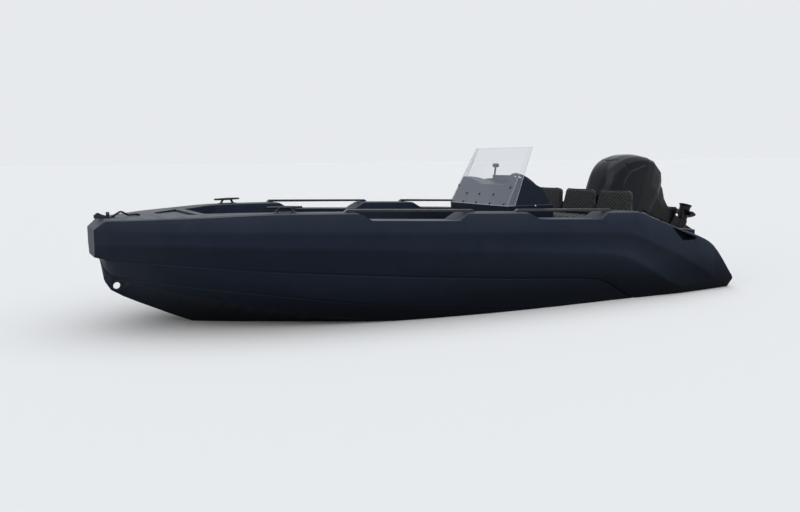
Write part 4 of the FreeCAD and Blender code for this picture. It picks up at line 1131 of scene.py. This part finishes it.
@dataclass
class Studio:
    """Camera at the photograph's place, pale floor at the waterline and soft lamps."""

    eye: Point = (3.11674, 5.56700, 1.12533)
    yaw: float = -117.554
    pitch: float = -6.995
    roll: float = -0.578
    focal_pixels: float = 783.87
    frame_pixels: float = 800.0
    sensor: float = 36.0
    floor_half: float = 400.0
    floor_colour: Colour = (0.84, 0.84, 0.84)
    floor_thrown: Colour = (0.07, 0.075, 0.08)
    backdrop: Colour = (0.80, 0.82, 0.85)
    sky: Colour = (0.85, 0.92, 1.0)
    sky_level: float = 0.25
    suns: tuple[tuple[str, Point, float, float, Colour], ...] = (
        ("sky", (0.05, -0.28, -1.0), 2.3, 110.0, (0.96, 0.98, 1.0)),
        ("horizon", (-0.8, -0.75, -0.3), 0.55, 60.0, (1.0, 0.95, 0.9)),
        ("dusk", (-1.0, -0.12, -0.22), 0.35, 30.0, (1.0, 0.84, 0.68)),
    )

    def camera(self) -> None:
        """Put the camera where the photographer stood."""
        yaw, pitch, roll = (math.radians(a) for a in (self.yaw, self.pitch, self.roll))
        ahead = Vector((math.cos(pitch) * math.cos(yaw), math.cos(pitch) * math.sin(yaw),
                        math.sin(pitch)))
        level = ahead.cross(Vector((0, 0, 1))).normalized()
        right = level * math.cos(roll) + level.cross(ahead) * math.sin(roll)
        up = right.cross(ahead)
        lens = bpy.data.cameras.new("camera")
        lens.sensor_width = self.sensor
        lens.lens = self.focal_pixels / self.frame_pixels * self.sensor
        lens.clip_end = 500.0
        camera = add("camera", lens)
        turn = Matrix((right, up, -ahead)).transposed().to_4x4()
        camera.matrix_world = Matrix.Translation(self.eye) @ turn
        bpy.context.scene.camera = camera

    def shown(self, tree: bpy.types.NodeTree) -> Any:
        """Make a socket that is 1 for rays of the camera, gloss and glass, in that tree."""
        path = tree.nodes.new("ShaderNodeLightPath")
        total = path.outputs["Is Camera Ray"]
        for name in ("Is Glossy Ray", "Is Transmission Ray"):
            largest = tree.nodes.new("ShaderNodeMath")
            largest.operation = "MAXIMUM"
            tree.links.new(total, largest.inputs[0])
            tree.links.new(path.outputs[name], largest.inputs[1])
            total = largest.outputs[0]
        return total

    def surroundings(self) -> None:
        """Light the world evenly and show a pale backdrop to the camera, gloss and glass."""
        world = bpy.data.worlds.new("studio")
        world.use_nodes = True
        bpy.context.scene.world = world
        tree = world.node_tree
        tree.nodes.clear()
        out = tree.nodes.new("ShaderNodeOutputWorld")
        mix = tree.nodes.new("ShaderNodeMixShader")
        soft, pale = (tree.nodes.new("ShaderNodeBackground") for _ in range(2))
        soft.inputs["Color"].default_value = (*self.sky, 1.0)
        soft.inputs["Strength"].default_value = self.sky_level
        pale.inputs["Color"].default_value = (*self.backdrop, 1.0)
        tree.links.new(self.shown(tree), mix.inputs[0])
        tree.links.new(soft.outputs[0], mix.inputs[1])
        tree.links.new(pale.outputs[0], mix.inputs[2])
        tree.links.new(mix.outputs[0], out.inputs[0])

    def floor(self) -> None:
        """Lay a plain pale floor at the waterline, which throws little light back up."""
        mesh = bpy.data.meshes.new("floor")
        h = self.floor_half
        mesh.from_pydata([(-h, -h, 0), (h, -h, 0), (h, h, 0), (-h, h, 0)], [], [(0, 1, 2, 3)])
        floor = add("floor", mesh)
        p = Paint("pale_floor")
        seen = Signal(p, self.shown(p.tree))
        mesh.materials.append(p.finish(
            Base_Color=p.mix(seen, self.floor_thrown, self.floor_colour), Roughness=0.9,
            Specular_IOR_Level=0.1))

    def sun(self, name: str, aim: Point, level: float, spread: float, colour: Colour) -> None:
        """Shine an even soft light from one side.

        Args:
            name: The lamp's name.
            aim: Direction that the light travels.
            level: Its strength.
            spread: Its width, in degrees.
            colour: Its colour.
        """
        light = bpy.data.lights.new(name, "SUN")
        light.energy = level
        light.angle = math.radians(spread)
        light.color = colour
        add(name, light).rotation_euler = Vector(aim).to_track_quat("-Z", "Y").to_euler()

    def build(self) -> None:
        """Set the camera, world, floor and lamps."""
        bpy.context.scene.view_settings.view_transform = "Standard"
        self.camera()
        self.surroundings()
        self.floor()
        for lamp in self.suns:
            self.sun(*lamp)


@dataclass
class Finishes:
    """Every finish of the boat, named by the record's material slot, and how nodes take them."""

    table: tuple[Any, ...] = (
        MouldedPlastic("hull_plastic", (0.012, 0.019, 0.034), (0.017, 0.025, 0.043), 0.5,
                       wear_and_highlight=0.05, lightening=0.2, dark_below=0.06),
        MouldedPlastic("floor_plastic", (0.03, 0.034, 0.04), (0.045, 0.05, 0.056), 0.6, 0.4,
                       0.0009, lightening=0.15, tread=0.034),
        MouldedPlastic("rail_black", (0.018, 0.018, 0.02), (0.03, 0.03, 0.032), 0.28,
                       gloss=0.4, lightening=0.2),
        # Painted dark reflection: stainless is far darker than bare steel, so it mirrors little of
        # the pale room.
        Metal("stainless", (0.045, 0.048, 0.053), 0.3, (1.0, 1.0, 0.1)),
        MouldedPlastic("black_plastic", (0.012, 0.012, 0.014), (0.02, 0.02, 0.023), 0.4),
        Rubber("black_rubber"),
        MouldedPlastic("console_grey", (0.010, 0.016, 0.028), (0.014, 0.021, 0.034), lightening=0.15),
        ClearSheet("smoke_glass"),
        QuiltedVinyl("seat_vinyl"),
        Rubber("wheel_grip", (0.014, 0.014, 0.015), 0.55, 900.0),
        Lacquer("engine_black", (0.008, 0.008, 0.01), 0.42, 0.1, 0.08),
        Lacquer("cowl_gloss", (0.003, 0.006, 0.011), 0.16, 0.12, 0.03),
        Lacquer("lamp_lens", (0.75, 0.75, 0.73), 0.3, 0.4, 0.0),
        Metal("engine_block", (0.2, 0.2, 0.21), 0.5),
        Metal("ram_steel", (0.7, 0.7, 0.72), 0.12, (1.0, 1.0, 0.1)),
    )

    def dress(self, frame: dict[str, Any]) -> dict[str, bpy.types.Material]:
        """Give every CAD node its slot's material.


        Returns:
            The materials by slot.
        """
        made = {finish.name: finish.material() for finish in self.table}
        slots = {part["node"]: part["material_slot"] for part in frame["record"]["subparts"]}
        for name, node in frame["nodes"].items():
            for material_slot in node.material_slots:
                material_slot.material = made[slots[name]]
        log.info("dressed %d nodes", len(frame["nodes"]))
        return made


def main() -> None:
    """Build the scene in order."""
    logging.basicConfig(level=logging.INFO, format="%(name)s: %(message)s")
    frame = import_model()
    Studio().build()
    made = Finishes().dress(frame)
    Softener().soften(frame["nodes"])
    RearSeats(made["seat_vinyl"], made["black_plastic"]).build()
    Cowl(made["cowl_gloss"], made["black_rubber"]).build()
    ConsoleTrim(frame["nodes"], made["stainless"], made["black_plastic"], made["lamp_lens"]).build()


if __name__ == "__main__":
    main()
